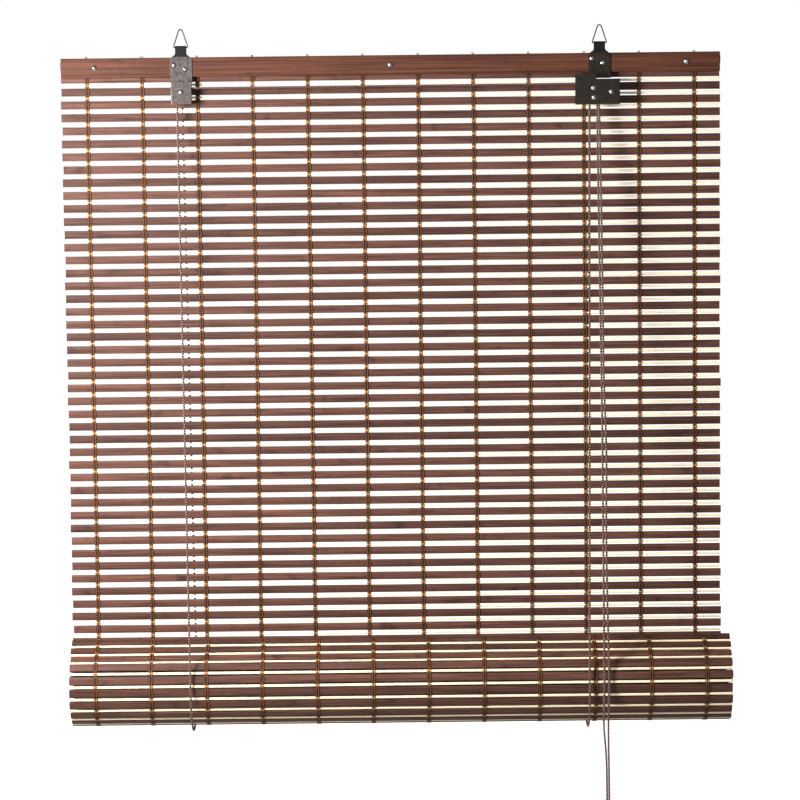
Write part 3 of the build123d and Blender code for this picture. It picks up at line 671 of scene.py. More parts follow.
@dataclass
class Warps:
    """The thread columns: on each face two yarns that spread over a slat and pinch at a stick."""

    path: SheetPath
    columns: int = 12
    spacing: float = 66.9 * MM
    wide: float = 1.3 * MM          # half width of one flattened yarn
    deep: float = 0.42 * MM         # half of its thickness
    spread: float = 1.6 * MM        # middle of the column to a yarn, over a slat
    pinch: float = 1.1 * MM         # and over a stick
    sink: float = 0.32 * MM         # how far a yarn sinks into the gaps,
    sink_run: float = 0.9 * MM      # and how far along the sheet
    clear: float = 0.02 * MM        # yarn to slat
    nip: float = 0.3 * MM           # end of a yarn to the edge of a rail
    around: int = 6
    steps: int = 8                  # rings in one pitch of the weave
    seed: int = 70
    wander: float = 0.25 * MM       # how far a column strays sideways,
    wander_run: float = 9           # in waves of this many pitches
    flank: float = 0.8              # crown's value on top of a yarn, and what the painted glow over a stick adds, light painted as if through the yarn; the glow is shorter the higher this is
    painted_glow: float = 0.2               # and what its bead over a stick adds,
    painted_glow_power: int = 12            # the shorter the higher this is

    def cuts(self) -> dict[str, tuple[float, float]]:
        """Gives each zone's stretch of thread, parted midway between two bars.

        Returns:
            Zone name to the lengths along the sheet at which its threads start and end.
        """
        path = self.path
        bars = sorted([(s, path.slat_high) for s in path.slats()]
                      + [(s, path.stick_high) for s in path.sticks()])
        marks, last = {"fixed": [path.rail_high + self.nip]}, "fixed"
        for (mid, high), (after, after_high) in zip(bars, bars[1:]):
            name = path.zone(after)
            if name != last:
                middle = (mid + high / 2 + after - after_high / 2) / 2
                marks[last].append(middle)
                marks[name] = [middle]
                last = name
        marks[last].append(path.rail_start - self.nip)
        return {name: (start, end) for name, (start, end) in marks.items()}

    def build(self, name: str, side: int, stretch: tuple[float, float],
              creep: float) -> bpy.types.Object:
        """Carries the flattened yarns along the sheet.

        A yarn's middle lies off the column's middle by a cosine of the weave. It stands off the
        sheet by half of the slat and of itself, less a dip at each open gap.

        Args:
            name: the new piece.
            side: one for the front face and minus one for the back.
            stretch: lengths along the sheet.
            creep: how far this part has crept to the right.

        Returns:
            The piece.
        """
        path = self.path
        step = path.pitch / self.steps
        along = np.linspace(*stretch, max(4, int((stretch[1] - stretch[0]) / step)))
        centre, ahead, front = path.station(along)
        weave = (along - path.first) / path.pitch * TAU
        off = ((self.spread + self.pinch) / 2
               + (self.spread - self.pinch) / 2 * np.cos(weave))
        to_slat = np.abs((along - path.first + path.pitch / 2) % path.pitch - path.pitch / 2)
        gap_mid = (path.slat_high + path.gap) / 2
        dip = self.sink * np.exp(-(((to_slat - gap_mid) / self.sink_run) ** 2))
        rise = path.slat_thick / 2 + self.deep + self.clear - dip
        angle = (np.arange(self.around) + 0.5) / self.around * TAU
        ring_x, ring_n = self.wide * np.cos(angle), self.deep * np.sin(angle)
        middle = (np.arange(self.columns) - (self.columns - 1) / 2) * self.spacing + creep
        chance = np.random.default_rng(self.seed + side)
        size = chance.normal(0, self.wander, (self.columns, 1))
        wander = size * np.sin(weave / self.wander_run + chance.uniform(0, 6, (self.columns, 1)))
        yarns = []
        for ply in (-1, 1):
            off_sheet = (side * rise[:, None] + ring_n)[None, ..., None]
            points = centre[None, :, None] + off_sheet * front[None, :, None]
            points = np.broadcast_to(points, (self.columns, len(along), self.around, 3)).copy()
            points[..., 0] += (middle[:, None] + wander + ply * off)[..., None] + ring_x
            yarns.append(points)
        points = np.concatenate(yarns)
        # crown falls from a yarn's top down its sides, where the material paints shade: dark
        # painted edges.
        crown = np.broadcast_to(0.5 + 0.5 * side * np.sin(angle), points.shape[:3])
        # Painted glow: light painted over each stick, as if it shone through the yarn.
        over_stick = ((1 - np.cos(weave)) / 2) ** self.painted_glow_power
        painted_glow = np.broadcast_to((self.painted_glow * over_stick)[:, None], points.shape[1:3])
        run = np.broadcast_to(along[:, None], points.shape[:3])
        return loft(name, points, {"crown": crown * self.flank + painted_glow, "run": run})


@dataclass
class WovenSheet:
    """Slats, sticks and threads in four stretches, each on the body that it moves with."""

    path: SheetPath
    bodies: dict[str, str] = field(default_factory=lambda: {
        "fixed": "head", "hanging": "head", "turn": "carriage", "rolled": "roll"})
    # Number of each stretch's random draw.
    draws: dict[str, int] = field(
        default_factory=lambda: {"fixed": 0, "hanging": 1, "turn": 3, "rolled": 6})
    keep: float = 0.0006            # share of the hanging sheet that still shows when wound up
    tuck: float = 1.8 * MM          # the place that it gathers to lies this far above its own top

    def build(self) -> list[bpy.types.Object]:
        """Builds each stretch, dresses it and gives it its body.

        Returns:
            The new pieces.
        """
        path, made = self.path, []
        slats = Bars(path, path.slat_high, path.slat_thick, edge=0.45 * MM, stations=17, seed=11)
        sticks = Bars(path, path.stick_high, path.slat_thick, edge=0.7 * MM, stations=9, seed=23,
                      ragged=2.4 * MM)
        warps = Warps(path)
        cuts = warps.cuts()
        dark, pale = StainedBamboo().material(), BareStick().material()
        # The groove colour is painted shade and the last colour a painted glow of light through the
        # yarn.
        yarn = Yarn("twisted_cotton_warp", crown="#7d4d2a", groove="#180a06", lay=2.6 * MM,
                    dark_to=0.66, pale_from=0.82, twist=0.04, painted_glow="#dcae74").material()
        low, high = span("hanging_slats")
        for zone, body in self.bodies.items():
            creep = path.creep.get(zone, 0.0)
            ends = (low[0] + creep, high[0] + creep)
            parts = []
            for kind, bars, places, finish, slot in (
                ("slats", slats, path.slats(), dark, "dark_bamboo"),
                ("sticks", sticks, path.sticks(), pale, "pale_stick"),
            ):
                chosen = np.array([s for s in places if path.zone(s) == zone])
                piece = bars.build(f"woven_{zone}_{kind}", chosen, ends, self.draws[zone])
                parts.append((piece, f"{zone}_{kind}", finish, slot))
            for face, side in (("front", 1), ("back", -1)):
                piece = warps.build(f"woven_{zone}_{face}_warps", side, cuts[zone], creep)
                parts.append((piece, f"{zone}_{face}_threads", yarn, "thread"))
            for piece, node, finish, slot in parts:
                finished(piece, finish, body, slot, node)
                if zone == "hanging":
                    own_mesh(piece)
                made.append(piece)
        return made


@dataclass
class Rails:
    """The head rail's two battens, the thread ends between them, and the bottom rail."""

    path: SheetPath
    edge: float = 1.1 * MM          # radius of a batten's long edges
    batten_seed: int = 41
    batten_tone: float = 0.55
    tuft_high: float = 2.4 * MM
    tuft_r: float = 0.5 * MM
    tuft_apart: float = 0.9 * MM    # middle of a column to each of its two ends
    tuft_foot: float = -3 * MM      # they start this far below the top
    tuft_lean: float = 0.25         # how far one leans, over its height
    tuft_seed: int = 5
    # Height of a tuft's upper rings, over the whole, and radius of all its rings.
    tuft_rise: tuple[float, ...] = (0, 0.6, 1.0)
    tuft_taper: tuple[float, ...] = (1, 1, 0.9, 0.35)
    tuft_around: int = 6
    tuft_crown: float = 0.3

    def build(self) -> list[bpy.types.Object]:
        """Builds the battens and tufts, and dresses the bottom rail.

        Returns:
            The new pieces.
        """
        wood = StainedBamboo("stained_head_rail", dark="#2b140c", body="#552f20", light="#704430",
                             fibre=1.6 * MM, fibre_run=150 * MM)
        finish = wood.material()
        made = []
        for number, node in enumerate(("head_rail_front", "head_rail_back")):
            piece = self.batten(node, self.batten_seed + number)
            made.append(finished(piece, finish, "head", "rail_wood", node))
        board = replace(wood, name="stained_bottom_rail", grain=Grain.BOARD).material()
        for node in ("bottom_rail_front", "bottom_rail_back", "bottom_rail_slat"):
            dress(node, board)
        made.append(self.tufts())
        return made

    def batten(self, node: str, seed: int) -> bpy.types.Object:
        """Makes one board with rounded edges: a rectangle with four arcs, swept along X.

        Args:
            node: the construction piece that gives its size and place.
            seed: how far along X its grain is read from.

        Returns:
            The piece.
        """
        low, high = span(node)
        middle, size = (low + high) / 2, high - low
        section = Bars(self.path, size[2], size[1], self.edge, 3, seed).ring()
        x = np.array([low[0], middle[0], high[0]])
        points = np.empty((1, 3, len(section), 3))
        points[..., 0] = x[None, :, None]
        points[..., 1] = middle[1] + section[:, 0]
        points[..., 2] = middle[2] + section[:, 1]
        grain = points + np.array([seed, 0, 0])
        tone = np.full(points.shape[:3], self.batten_tone)
        return loft("stained_" + node, points, {"grain": grain, "tone": tone})

    def tufts(self) -> bpy.types.Object:
        """Makes the short thread ends that stand out of the head rail's top, as leaning pins.

        Returns:
            The piece.
        """
        warps = Warps(self.path)
        chance = np.random.default_rng(self.tuft_seed)
        middle = (np.arange(warps.columns) - (warps.columns - 1) / 2) * warps.spacing
        x = np.concatenate([middle - self.tuft_apart, middle + self.tuft_apart])
        rise = np.array([self.tuft_foot, *(self.tuft_high * np.array(self.tuft_rise))])
        lean = chance.normal(0, self.tuft_lean, (2, len(x), 1)) * np.clip(rise, 0, None)
        angle = np.arange(self.tuft_around) / self.tuft_around * TAU
        radius = self.tuft_r * np.array(self.tuft_taper)
        points = np.empty((len(x), len(rise), self.tuft_around, 3))
        points[..., 0] = (x[:, None] + lean[0])[..., None] + radius[:, None] * np.cos(angle)
        points[..., 1] = ((self.path.panel_y + lean[1])[..., None]
                          + radius[:, None] * np.sin(angle))
        points[..., 2] = self.path.rail_top + rise[:, None]
        marks = {"crown": np.full(points.shape[:3], self.tuft_crown),
                 "run": np.zeros(points.shape[:3])}
        finish = Yarn("cut_cotton_ends", crown="#6a452a", groove="#190b06", lay=2.6 * MM).material()
        return finished(loft("warp_tufts", points, marks), finish, "head", "thread")


# ---------------------------------------------------------------- cords
@dataclass
class Rope:
    """A cord laid up from two plies that wind round each other."""

    across: float = 2.3 * MM
    lay: float = 6.2 * MM           # length of one turn of the plies
    step: float = 0.72 * MM         # distance between two rings
    fill: float = 1.45              # a ply's own radius over its distance from the middle
    around: int = 6

    def build(self, name: str, line: np.ndarray,
              level: tuple[float, float, float]) -> bpy.types.Object:
        """Winds two plies round a line.

        Ply j's middle stands a quarter of the cord's width off the line, at an angle of a full turn
        for each lay plus half a turn for j. Its own section is a circle, larger than that distance
        by fill, because soft plies press flat against each other.

        Args:
            name: the new piece.
            line: points that the cord follows.
            level: a direction that the line never takes, from which the angle starts.

        Returns:
            The piece.
        """
        line = respaced(line, self.step)
        ahead = np.gradient(line, axis=0)
        ahead /= np.linalg.norm(ahead, axis=1)[:, None]
        side = np.array(level) - (ahead @ np.array(level))[:, None] * ahead
        side /= np.linalg.norm(side, axis=1)[:, None]
        up = np.cross(ahead, side)
        run = np.arange(len(line)) * self.step
        angle = np.arange(self.around) / self.around * TAU
        ply_r = self.across / 4
        plies = []
        crowns = []
        for half in (0, math.pi):
            turn = run / self.lay * TAU + half
            out = np.cos(turn)[:, None] * side + np.sin(turn)[:, None] * up
            middle = line + ply_r * out
            ring = (np.cos(angle)[None, :, None] * side[:, None]
                    + np.sin(angle)[None, :, None] * up[:, None])
            plies.append(middle[:, None] + ply_r * self.fill * ring)
            # crown is one on a ply's outside and zero where it meets the other ply: the yarn paints
            # shade by it.
            crowns.append(0.5 + 0.5 * np.einsum("ska,sa->sk", ring, out))
        points = np.stack(plies)
        runs = np.broadcast_to(run[:, None], points.shape[:3])
        return loft(name, points, {"crown": np.stack(crowns), "run": runs})


def arc(middle: tuple[float, float], radius: float, start: float, end: float, plane: float,
        count: int = 24) -> np.ndarray:
    """Gives points on an arc in a plane across Y: its middle plus radius times cosine and sine.

    Args:
        middle: x and z of the arc's middle.
        radius: its radius.
        start: angle at which it starts, in degrees from +X towards +Z.
        end: and ends.
        plane: the plane's y.
        count: how many points.

    Returns:
        The points, one row each.
    """
    angle = np.radians(np.linspace(start, end, count))
    return np.stack([middle[0] + radius * np.cos(angle), np.full(count, plane),
                     middle[1] + radius * np.sin(angle)], axis=1)


@dataclass
class CordSet:
    """The lift cords, taut round the roll, and the two pull cords that hang from the lock."""

    path: SheetPath
    rope: Rope = field(default_factory=Rope)
    join_gap: float = 0.1 * MM      # between a pull cord's run and its free end
    knee: float = 14 * MM           # straight length under each pulley
    pull_over: float = 14 * MM      # straight length above the bend over the roll
    # x, and drop below the rail's top, of points chosen down each pull cord.
    runs: tuple[tuple[tuple[float, float], ...], ...] = (
        ((249.4, 66.0), (250.1, 270.0), (250.7, 470.0), (249.9, 580.0)),
        ((252.4, 66.0), (253.2, 300.0), (252.9, 395.0), (255.7, 480.0), (252.7, 590.0)),
    )
    over_roll: tuple[float, float] = (249.3, 254.9)     # and their x where they lie over the roll
    tails: tuple[tuple[tuple[float, float], ...], ...] = (
        ((247.4, 803.0), (250.8, 838.0), (251.5, 872.0)),
        ((253.4, 800.0), (253.6, 836.0), (254.0, 870.0)),
    )
    bend_share: float = 0.02        # a taut cord's bend ends this share of the way down
    drop_in: float = 6 * MM         # straight length beside the lock's pulley before it leans
    coil_drop: float = 929 * MM     # top of the rail to the middle of the coil
    coil_x: float = 251.6 * MM      # its left end
    coil_r: tuple[float, float] = (12 * MM, 14.5 * MM)
    coil_turns: tuple[int, int] = (15, 12)
    coil_pitch: float = 2.4 * MM
    coil_apart: float = 0.2 * MM    # room between the two cords at an end of the coil
    swing_out: float = 1.012        # a spline cuts its corners, so they lie this much further out
    turn_points: int = 16
    leave_drop: float = 14 * MM     # middle of the coil to the point at which a cord leaves it
    knot_in: tuple[float, float] = (9.4 * MM, 1.5 * MM)     # the last two points above the knot
    knot_drop: float = 3.4 * MM     # top of the knot to its middle
    tail_length: tuple[float, float] = (1.355, 1.315)
    end_thick: float = 2.3 * MM     # cord of the end knot,
    rear_thick: float = 1.7 * MM    # of the rear knots
    tie_thick: float = 0.9 * MM     # and of the tie
    tie_turns: int = 3
    tie_square: float = 0.35        # one gives a round loop, and less a squarer one
    fine: int = 24                  # points read for each control point of a taut cord,
    tail_fine: int = 8              # and of a free one

    def __post_init__(self) -> None:
        """Reads the pulleys, the slings and the coil's place off the frame, and makes the yarn,
        with a painted highlight on each ply's crown and painted shade in its grooves.
        """
        self.half = self.rope.across / 2
        cross_low, cross_high = span("cross_cord")
        lock_low, lock_high = span("lock_turn_cord")
        self.axle_z = cross_low[2]
        self.pulley_r = cross_high[2] - self.half - self.axle_z
        self.planes = ((cross_low[1] + cross_high[1]) / 2, (lock_low[1] + lock_high[1]) / 2)
        self.lock_x = (lock_low[0] + lock_high[0]) / 2
        self.left_x = cross_low[0] + self.half + self.pulley_r
        low, high = span("left_sling")
        self.back_r = high[1] - self.half - self.path.axis_y
        self.front_r = self.path.axis_y - low[1] - self.half
        self.front_z = self.path.axis_z - (self.back_r - self.front_r)
        self.coil_y = self.path.axis_y - self.front_r + self.coil_r[0]
        self.coil_z = self.path.rail_top - self.coil_drop
        # Painted light and shade: the pale crown colour is a painted highlight, the groove colour
        # painted shade.
        self.finish = Yarn("twisted_polyester_cord", crown="#ab877c", groove="#120a08",
                           lay=1.1 * MM, dark_to=0.64, pale_from=0.98, twist=0.06).material()

    def tangent(self, top_y: float, top_z: float) -> tuple[float, float, float]:
        """Gives where a cord from a point above meets the arc over the roll's front.

        The angle is that of the line from the arc's middle to the point, plus the arc cosine of
        the radius over that line's length.

        Args:
            top_y: the point's y.
            top_z: and z.

        Returns:
            y, z and the slope there, in radians forwards from straight down.
        """
        dy, dz = top_y - self.path.axis_y, top_z - self.front_z
        angle = math.atan2(dz, dy) + math.acos(self.front_r / math.hypot(dy, dz))
        return (self.path.axis_y + self.front_r * math.cos(angle),
                self.front_z + self.front_r * math.sin(angle), math.pi - angle)

    def join(self, which: int) -> tuple[float, float, float, float]:
        """Gives the place where a pull cord starts to lie over the roll.

        Args:
            which: zero for the left cord and one for the right.

        Returns:
            x, y, z and the slope there.
        """
        top_z = self.path.rail_top - self.runs[which][0][1] * MM
        y, z, slope = self.tangent(self.planes[which], top_z)
        return (self.over_roll[which] * MM, y + self.pull_over * math.sin(slope),
                z + self.pull_over * math.cos(slope), slope)

    def build(self) -> list[bpy.types.Object]:
        """Builds every cord, knot and tie.

        Returns:
            The new pieces.
        """
        sides = tuple(enumerate(("left", "right")))
        made = []
        for which, side in sides:
            made += [self.lift_front(which, side), self.lift_back(side), self.sling(which, side),
                     self.run(which, side)]
        made += self.pulley_cords()
        made += self.knots()
        return made + [self.tail(which, side) for which, side in sides]

    def dress(self, piece: bpy.types.Object, body: str, *nodes: str) -> bpy.types.Object:
        """Gives a cord its yarn, its body and the nodes that it stands for."""
        return finished(piece, self.finish, body, "cord", *nodes)

    def gather(self, piece: bpy.types.Object) -> None:
        """Gives a taut cord a mesh of its own.

        Args:
            piece: the cord.
        """
        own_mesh(piece)

    def lift_front(self, which: int, side: str) -> bpy.types.Object:
        """Makes the taut cord from a pulley down to the front of the sling.

        Args:
            which: zero for the left cord and one for the right.
            side: the same in words.

        Returns:
            The piece.
        """
        top_x = (self.left_x, self.lock_x)[which] - self.pulley_r
        end_x = (span(f"{side}_sling")[0][0] + span(f"{side}_sling")[1][0]) / 2
        plane = self.planes[which]
        end_y, end_z, slope = self.tangent(plane, self.axle_z - self.knee)
        top = (top_x, plane, self.axle_z)
        bend = (top_x, plane, self.axle_z - self.knee)
        share = self.bend_share
        beyond = (top_x + (end_x - top_x) * share, plane + (end_y - plane) * share,
                  bend[2] + (end_z - bend[2]) * share)
        line = smooth_line([top, bend, beyond, (end_x, end_y, end_z)], self.fine)
        piece = self.rope.build(f"taut_{side}_lift_front", line, (1, 0, 0))
        self.dress(piece, "head", f"{side}_lift_front")
        self.gather(piece)
        return piece

    def lift_back(self, side: str) -> bpy.types.Object:
        """Makes the taut cord behind the sheet: a straight line from knot to sling.

        Args:
            side: left or right.

        Returns:
            The piece.
        """
        low, high = span(f"{side}_lift_back")
        sling_low, sling_high = span(f"{side}_sling")
        end_x = (sling_low[0] + sling_high[0]) / 2
        on_right = abs(high[0] - self.half - end_x) < MM
        top_x = low[0] + self.half if on_right else high[0] - self.half
        y = (low[1] + high[1]) / 2
        line = np.array([(top_x, y, high[2]), (end_x, y, low[2])])
        piece = self.rope.build(f"taut_{side}_lift_back", line, (1, 0, 0))
        self.dress(piece, "head", f"{side}_lift_back")
        self.gather(piece)
        return piece

    def sling(self, which: int, side: str) -> bpy.types.Object:
        """Makes the arc under the roll: a wide quarter at the back and a tighter one in front.

        Args:
            which: zero for the left cord and one for the right.
            side: the same in words.

        Returns:
            The piece.
        """
        low, high = span(f"{side}_sling")
        x = (low[0] + high[0]) / 2
        slope = self.tangent(self.planes[which], self.axle_z - self.knee)[2]
        back = np.radians(np.linspace(0, 90, 40))
        ahead = np.linspace(math.pi / 2, math.pi + slope, 44)[1:]
        y = np.concatenate([self.back_r * np.cos(back), self.front_r * np.cos(ahead)])
        y = self.path.axis_y + y
        z = np.concatenate([self.path.axis_z - self.back_r * np.sin(back),
                            self.front_z - self.front_r * np.sin(ahead)])
        line = np.stack([np.full_like(y, x), y, z], axis=1)
        piece = self.rope.build(f"taut_{side}_sling", line, (1, 0, 0))
        return self.dress(piece, "carriage", f"{side}_sling")

    def pulley_cords(self) -> list[bpy.types.Object]:
        """Makes the cord along the rail, over both pulleys, and the right cord over its groove.

        Returns:
            The two pieces.
        """
        up = arc((self.left_x, self.axle_z), self.pulley_r, 180, 90, self.planes[0])
        down = arc((self.lock_x, self.axle_z), self.pulley_r, 90, 0, self.planes[0])
        cross = self.rope.build("taut_cross_cord", np.concatenate([up, down]), (0, 1, 0))
        over = arc((self.lock_x, self.axle_z), self.pulley_r, 180, 0, self.planes[1])
        turn = self.rope.build("taut_lock_turn_cord", over, (0, 1, 0))
        return [self.dress(cross, "head", "cross_cord"), self.dress(turn, "head", "lock_turn_cord")]

    def run(self, which: int, side: str) -> bpy.types.Object:
        """Makes a pull cord from the lock down to the roll, leaning forwards as it falls.

        Args:
            which: zero for the left cord and one for the right.
            side: the same in words.

        Returns:
            The piece.
        """
        x, y, z, slope = self.join(which)
        plane, start = self.planes[which], self.lock_x + self.pulley_r
        top_z = self.path.rail_top - self.runs[which][0][1] * MM
        points = [(start, plane, self.axle_z), (start, plane, self.axle_z - self.drop_in)]
        for place, drop in self.runs[which]:
            height = self.path.rail_top - drop * MM
            share = (top_z - height) / (top_z - z)
            points.append((place * MM, plane + share * (y - plane), height))
        gap = self.join_gap
        points.append((x, y + gap * math.sin(slope), z + gap * math.cos(slope)))
        line = smooth_line(points, self.fine)
        piece = self.rope.build(f"hanging_{side}_pull_run", line, (1, 0, 0))
        self.dress(piece, "head", f"{side}_pull_run")
        self.gather(piece)
        return piece

    def tail_points(self, which: int) -> list[tuple[float, float, float]]:
        """Gives a free cord's chosen points: over the roll, down, round the coil, to the knot.

        Args:
            which: zero for the left cord and one for the right.

        Returns:
            The points, in metres.
        """
        x, y, z, slope = self.join(which)
        front = self.path.axis_y - self.front_r
        radius, turns = self.coil_r[which], self.coil_turns[which]
        entry = self.coil_y - radius
        inset = which * (self.rope.across + self.coil_apart)
        starts = self.coil_x + inset
        ends = self.coil_x + self.coil_turns[0] * self.coil_pitch - inset
        points = [(x, y, z), (x, front, self.front_z + self.front_r * math.tan(slope / 2))]
        first, last = self.tails[which][0][1], self.tails[which][-1][1]
        for place, drop in self.tails[which]:
            share = (drop - first) / (last - first)
            height = self.path.rail_top - drop * MM
            points.append((place * MM, front + share * (entry - front), height))
        steps, wide = turns * self.turn_points, radius * self.swing_out
        for step in range(steps + 1):
            angle = step / self.turn_points * TAU
            points.append((starts + step / steps * (ends - starts),
                           self.coil_y - wide * math.cos(angle),
                           self.coil_z - wide * math.sin(angle)))
        knot_x, knot_y, knot_z = self.knot_place()
        beside = (-1, 1)[which == 0] * self.half
        points.append((ends, entry, self.coil_z - self.leave_drop))
        points.append((knot_x + beside, knot_y, knot_z + self.knot_in[0]))
        points.append((knot_x + beside * 0.5, knot_y, knot_z + self.knot_in[1]))
        return points

    def tail(self, which: int, side: str) -> bpy.types.Object:
        """Args:
            which: zero for the left cord and one for the right.
            side: the same in words.

        Returns:
            The piece.
        """
        points = self.tail_points(which)
        line = smooth_line(points, self.tail_fine)
        piece = self.rope.build(f"free_{side}_pull_cord", line, (1, 0, 0))
        nodes = (["left_pull_tail", "pull_cord_coil", "pull_cord_ends"], ["right_pull_tail"])[which]
        self.dress(piece, "carriage", *nodes)
        return piece

    def knot_place(self) -> tuple[float, float, float]:
        """Gives the middle of the knot that joins the two free ends."""
        low, high = span("cord_end_knot")
        return (low[0] + high[0]) / 2, (low[1] + high[1]) / 2, high[2] - self.knot_drop

    def trefoil(self, name: str, middle: tuple[float, float, float], reach: float,
                thick: float) -> bpy.types.Object:
        """Makes an overhand knot: x = sin t + 2 sin 2t, y = -sin 3t and z = cos t - 2 cos 2t.

        Args:
            name: the new piece.
            middle: the knot's middle.
            reach: half of its width.
            thick: the cord's width.

        Returns:
            The piece.
        """
        t = np.linspace(0, TAU, 90)
        size = (reach - thick / 2) / 3
        line = np.stack([np.sin(t) + 2 * np.sin(2 * t), -np.sin(3 * t),
                         np.cos(t) - 2 * np.cos(2 * t)], axis=1) * size
        knot = Rope(across=thick, lay=5 * MM, step=0.6 * MM)
        # A tilted direction, because the knot's line never runs quite that way.
        return knot.build(name, line + np.array(middle), (0.13, 1, 0.07))

    def knots(self) -> list[bpy.types.Object]:
        """Makes the end knot, the two knots at the rear screw eyes, and the tie round the coil.

        Returns:
            The new pieces.
        """
        low, high = span("cord_end_knot")
        middle, reach = tuple((low + high) / 2), (high[0] - low[0]) / 2
        self.end_knot = self.trefoil("pull_cord_end_knot", middle, reach, self.end_thick)
        self.dress(self.end_knot, "carriage", "cord_end_knot")
        low, high = span("rear_cord_knots")
        made = [self.end_knot]
        height = (low[2] + high[2]) / 2
        reach = (high[2] - low[2]) / 2
        for side, x in (("left", low[0] + reach), ("right", high[0] - reach)):
            middle = (x, (low[1] + high[1]) / 2, height)
            knot = self.trefoil(f"rear_{side}_knot", middle, reach, self.rear_thick)
            made.append(self.dress(knot, "head", "rear_cord_knots"))
        self.tie = self.band()
        return [*made, self.tie]

    def band(self) -> bpy.types.Object:
        """Makes the tie: a thin cord wound round one side of the coil, as rounded loops.

        A loop's x and z are the cosine and the sine with their size raised to a power below one.

        Returns:
            The piece.
        """
        low, high = span("coil_tie")
        middle, size = (low + high) / 2, high - low
        thick, power = self.tie_thick, self.tie_square
        t = np.linspace(0, self.tie_turns * TAU, 200)
        x = np.sign(np.cos(t)) * np.abs(np.cos(t)) ** power * (size[0] - thick) / 2
        z = np.sign(np.sin(t)) * np.abs(np.sin(t)) ** power * (size[2] - thick) / 2
        y = (t / (self.tie_turns * TAU) - 0.5) * (size[1] - thick)
        line = np.stack([x, y, z], axis=1) + middle
        cord = Rope(across=thick, lay=3 * MM, step=0.6 * MM)
        return self.dress(cord.build("coil_tie_cord", line, (0, 1, 0)), "carriage", "coil_tie")


# ---------------------------------------------------------------- metal and plastic
def dress(node: str, finish: bpy.types.Material) -> None:
    """Gives a construction piece its finish, in place of the plain one.

    Args:
        node: the piece.
        finish: its material.
    """
    mesh_object = frame["nodes"][node]
    if not mesh_object.material_slots:
        mesh_object.data.materials.append(finish)
    for slot in mesh_object.material_slots:
        slot.material = finish


@dataclass
class Fittings:
    """Hangers, rings, pulleys and the cord lock, which keep the shape of their construction."""

    path: SheetPath
    neck_down: float = 0.5 * MM     # the hangers' darker necks start this far below the rail's top

    def build(self) -> None:
        """Dresses each fitting in the metal that it is made of. The two hangers and their housings
        share one lacquer, in a lit copy on the left and a shaded copy on the right: painted light
        and shade.
        """
        neck_from = self.path.rail_top - self.neck_down
        # Painted light and shade: grey is the lit copy of the hangers' lacquer and brown the shaded
        # copy.
        grey = Metal("lacquered_gunmetal", "#3e3937", "#69635f", metallic=0.6, roughness=0.40,
                     grit=0.55 * MM, neck="#161413", neck_from=neck_from)
        brown = Metal("lacquered_dark_bronze", "#181512", "#362e27", metallic=0.5, roughness=0.40,
                      grit=0.55 * MM, neck="#100e0d", neck_from=neck_from)
        bright = Metal("nickel_plated_rivets", "#a9aaa8", "#dcdcd9", 1.0, 0.22, 1.5 * MM)
        wire = Metal("browned_steel_wire", "#241b15", "#4a3c33", 0.3, 0.45, 1.2 * MM)
        nylon = Metal("moulded_nylon", "#231d1a", "#3a312c", 0.0, 0.45, 1.0 * MM)
        cam = Metal("stamped_steel", "#7d7873", "#a9a49e", 1.0, 0.38, 1.0 * MM)
        for finish, nodes in (
            (grey, ("left_hanger", "left_pulley_housing")),
            (brown, ("right_hanger", "lock_housing")),
            (bright, ("left_hanger_rivets", "right_hanger_rivets", "left_axle", "lock_axle",
                      "lock_pin",
                      "lock_cam_pivot", "rail_screws", "bottom_rail_screws")),
            (wire, ("left_ring", "right_ring", "rear_screw_eyes")),
            (nylon, ("left_pulley", "lock_pulley")),
            (cam, ("lock_cam",)),
        ):
            material = finish.material()
            for node in nodes:
                dress(node, material)


# ---------------------------------------------------------------- studio
@dataclass(frozen=True)
class Lamp:
    """One square light, turned to the blind."""

    name: str
    place: tuple[float, float, float]
    size: float
    power: float                    # in watts

    def build(self, aim: tuple[float, float, float]) -> None:
        """Sets it up.

        Args:
            aim: the point that it shines at.
        """
        lamp = bpy.data.lights.new(self.name, "AREA")
        lamp.size = self.size
        lamp.energy = self.power
        made = put(self.name, lamp)
        made.location = self.place
        made.rotation_mode = "QUATERNION"
        toward = np.array(aim) - np.array(self.place)
        made.rotation_quaternion = Vector(toward).to_track_quat("-Z", "Y")


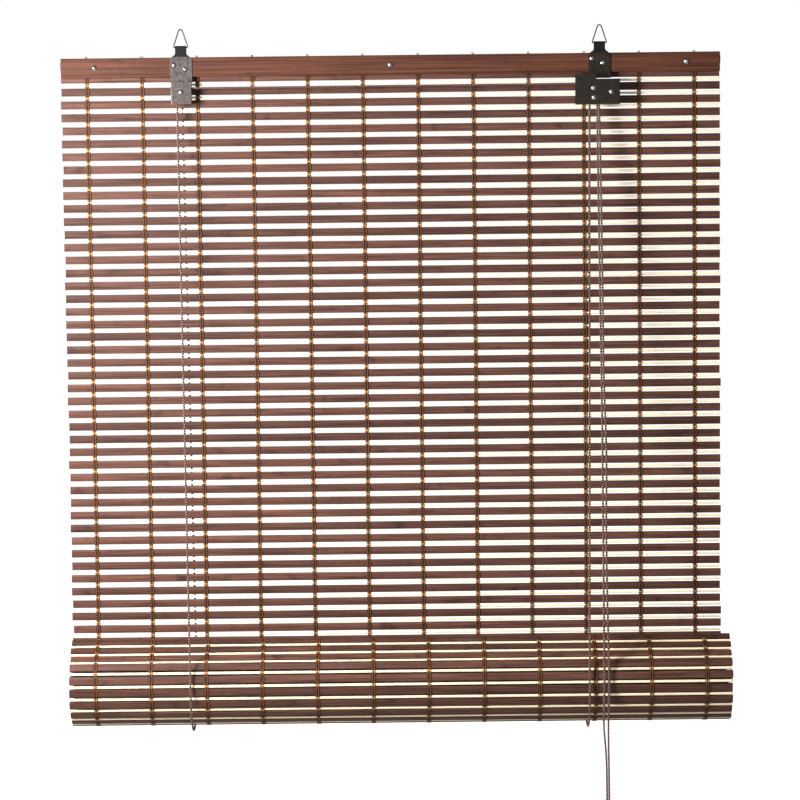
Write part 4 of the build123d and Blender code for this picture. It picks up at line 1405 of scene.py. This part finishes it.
@dataclass
class Studio:
    """A pale floor, a white sky, three lights and the camera."""

    aim: tuple[float, float, float] = (0.0072, 0.0, -0.4522)
    turn: float = 0.2               # degrees round to the right
    above: float = 5.99             # degrees above the level
    roll: float = -0.66             # degrees about its own axis
    far: float = 3.92
    lens: float = 144.3             # in millimetres, for a sensor this wide
    sensor: float = 36.0
    reach: float = 50.0             # the camera sees this far
    floor_gap: float = 0.12         # lowest point of the blind to the floor
    floor_half: float = 12.0
    paper: str = "#bdbcb9"
    sky: float = 0.17               # the sky's light on the blind: to the camera it is plain white
    lamps: tuple[Lamp, ...] = (
        Lamp("key", (-0.98, -0.85, -0.08), size=0.4, power=45.0),
        Lamp("fill", (0.6, -3.6, 0.6), size=2.0, power=12.0),
        Lamp("rear", (1.2, 3.4, 0.9), size=2.0, power=25.0),
    )

    def build(self) -> None:
        """Sets the floor, the sky, the lights and the camera."""
        self.floor()
        self.skylight()
        for lamp in self.lamps:
            lamp.build(self.aim)
        self.camera()

    def floor(self) -> None:
        """Makes the floor, one flat square that reaches far out on all sides."""
        low = CAD_BOX[0][2] - self.floor_gap
        corners = np.array([(-1, -1), (1, -1), (1, 1), (-1, 1)]) * self.floor_half
        mesh = bpy.data.meshes.new("pale_floor")
        mesh.from_pydata([(*corner, low) for corner in corners.tolist()], [], [(0, 1, 2, 3)])
        # White paper is matt. It glows for the camera alone: it shows white, and the blind isn't
        # lit from below.
        paper, tree, shader = new_material("white_paper")
        seen = add_node(tree, "LightPath").outputs["Is Camera Ray"]
        feed(tree, shader, {"Base Color": linear(self.paper), "Roughness": 0.9,
                            "Emission Color": WHITE, "Emission Strength": seen})
        mesh.materials.append(paper)
        put("pale_floor", mesh)

    def skylight(self) -> None:
        """Sets a sky that is plain white to the camera and weak to everything else."""
        world = bpy.data.worlds.new("white_sky")
        world.use_nodes = True
        tree = world.node_tree
        seen = add_node(tree, "LightPath").outputs["Is Camera Ray"]
        level = add_node(tree, "MapRange", {"Value": seen, "To Min": self.sky, "To Max": 1.0})
        feed(tree, tree.nodes["Background"], {"Color": WHITE, "Strength": level.outputs[0]})
        bpy.context.scene.world = world

    def camera(self) -> None:
        """Sets the camera on a sphere round the aim, tilted a little as the blind hangs."""
        azimuth, rise = math.radians(self.turn), math.radians(self.above)
        back = Vector((math.sin(azimuth) * math.cos(rise), -math.cos(azimuth) * math.cos(rise),
                       math.sin(rise)))
        data = bpy.data.cameras.new("camera")
        data.lens = self.lens
        data.sensor_width = self.sensor
        data.clip_end = self.reach
        made = put("camera", data)
        made.location = Vector(self.aim) + back * self.far
        made.rotation_mode = "QUATERNION"
        spin = Quaternion((0, 0, 1), math.radians(self.roll))
        made.rotation_quaternion = (-back).to_track_quat("-Z", "Y") @ spin
        bpy.context.scene.camera = made
        bpy.context.scene.view_settings.view_transform = "Standard"


def main() -> None:
    """Builds the blind's pieces in order."""
    logging.basicConfig(level=logging.INFO, format="%(message)s")
    path = SheetPath()
    Studio().build()
    cords = CordSet(path).build()
    sheet = WovenSheet(path).build()
    rails = Rails(path).build()
    Fittings(path).build()
    for piece in [*cords, *sheet, *rails]:
        LOG.info("%s: %d faces", piece.name, len(piece.data.polygons))


if __name__ == "__main__":
    main()
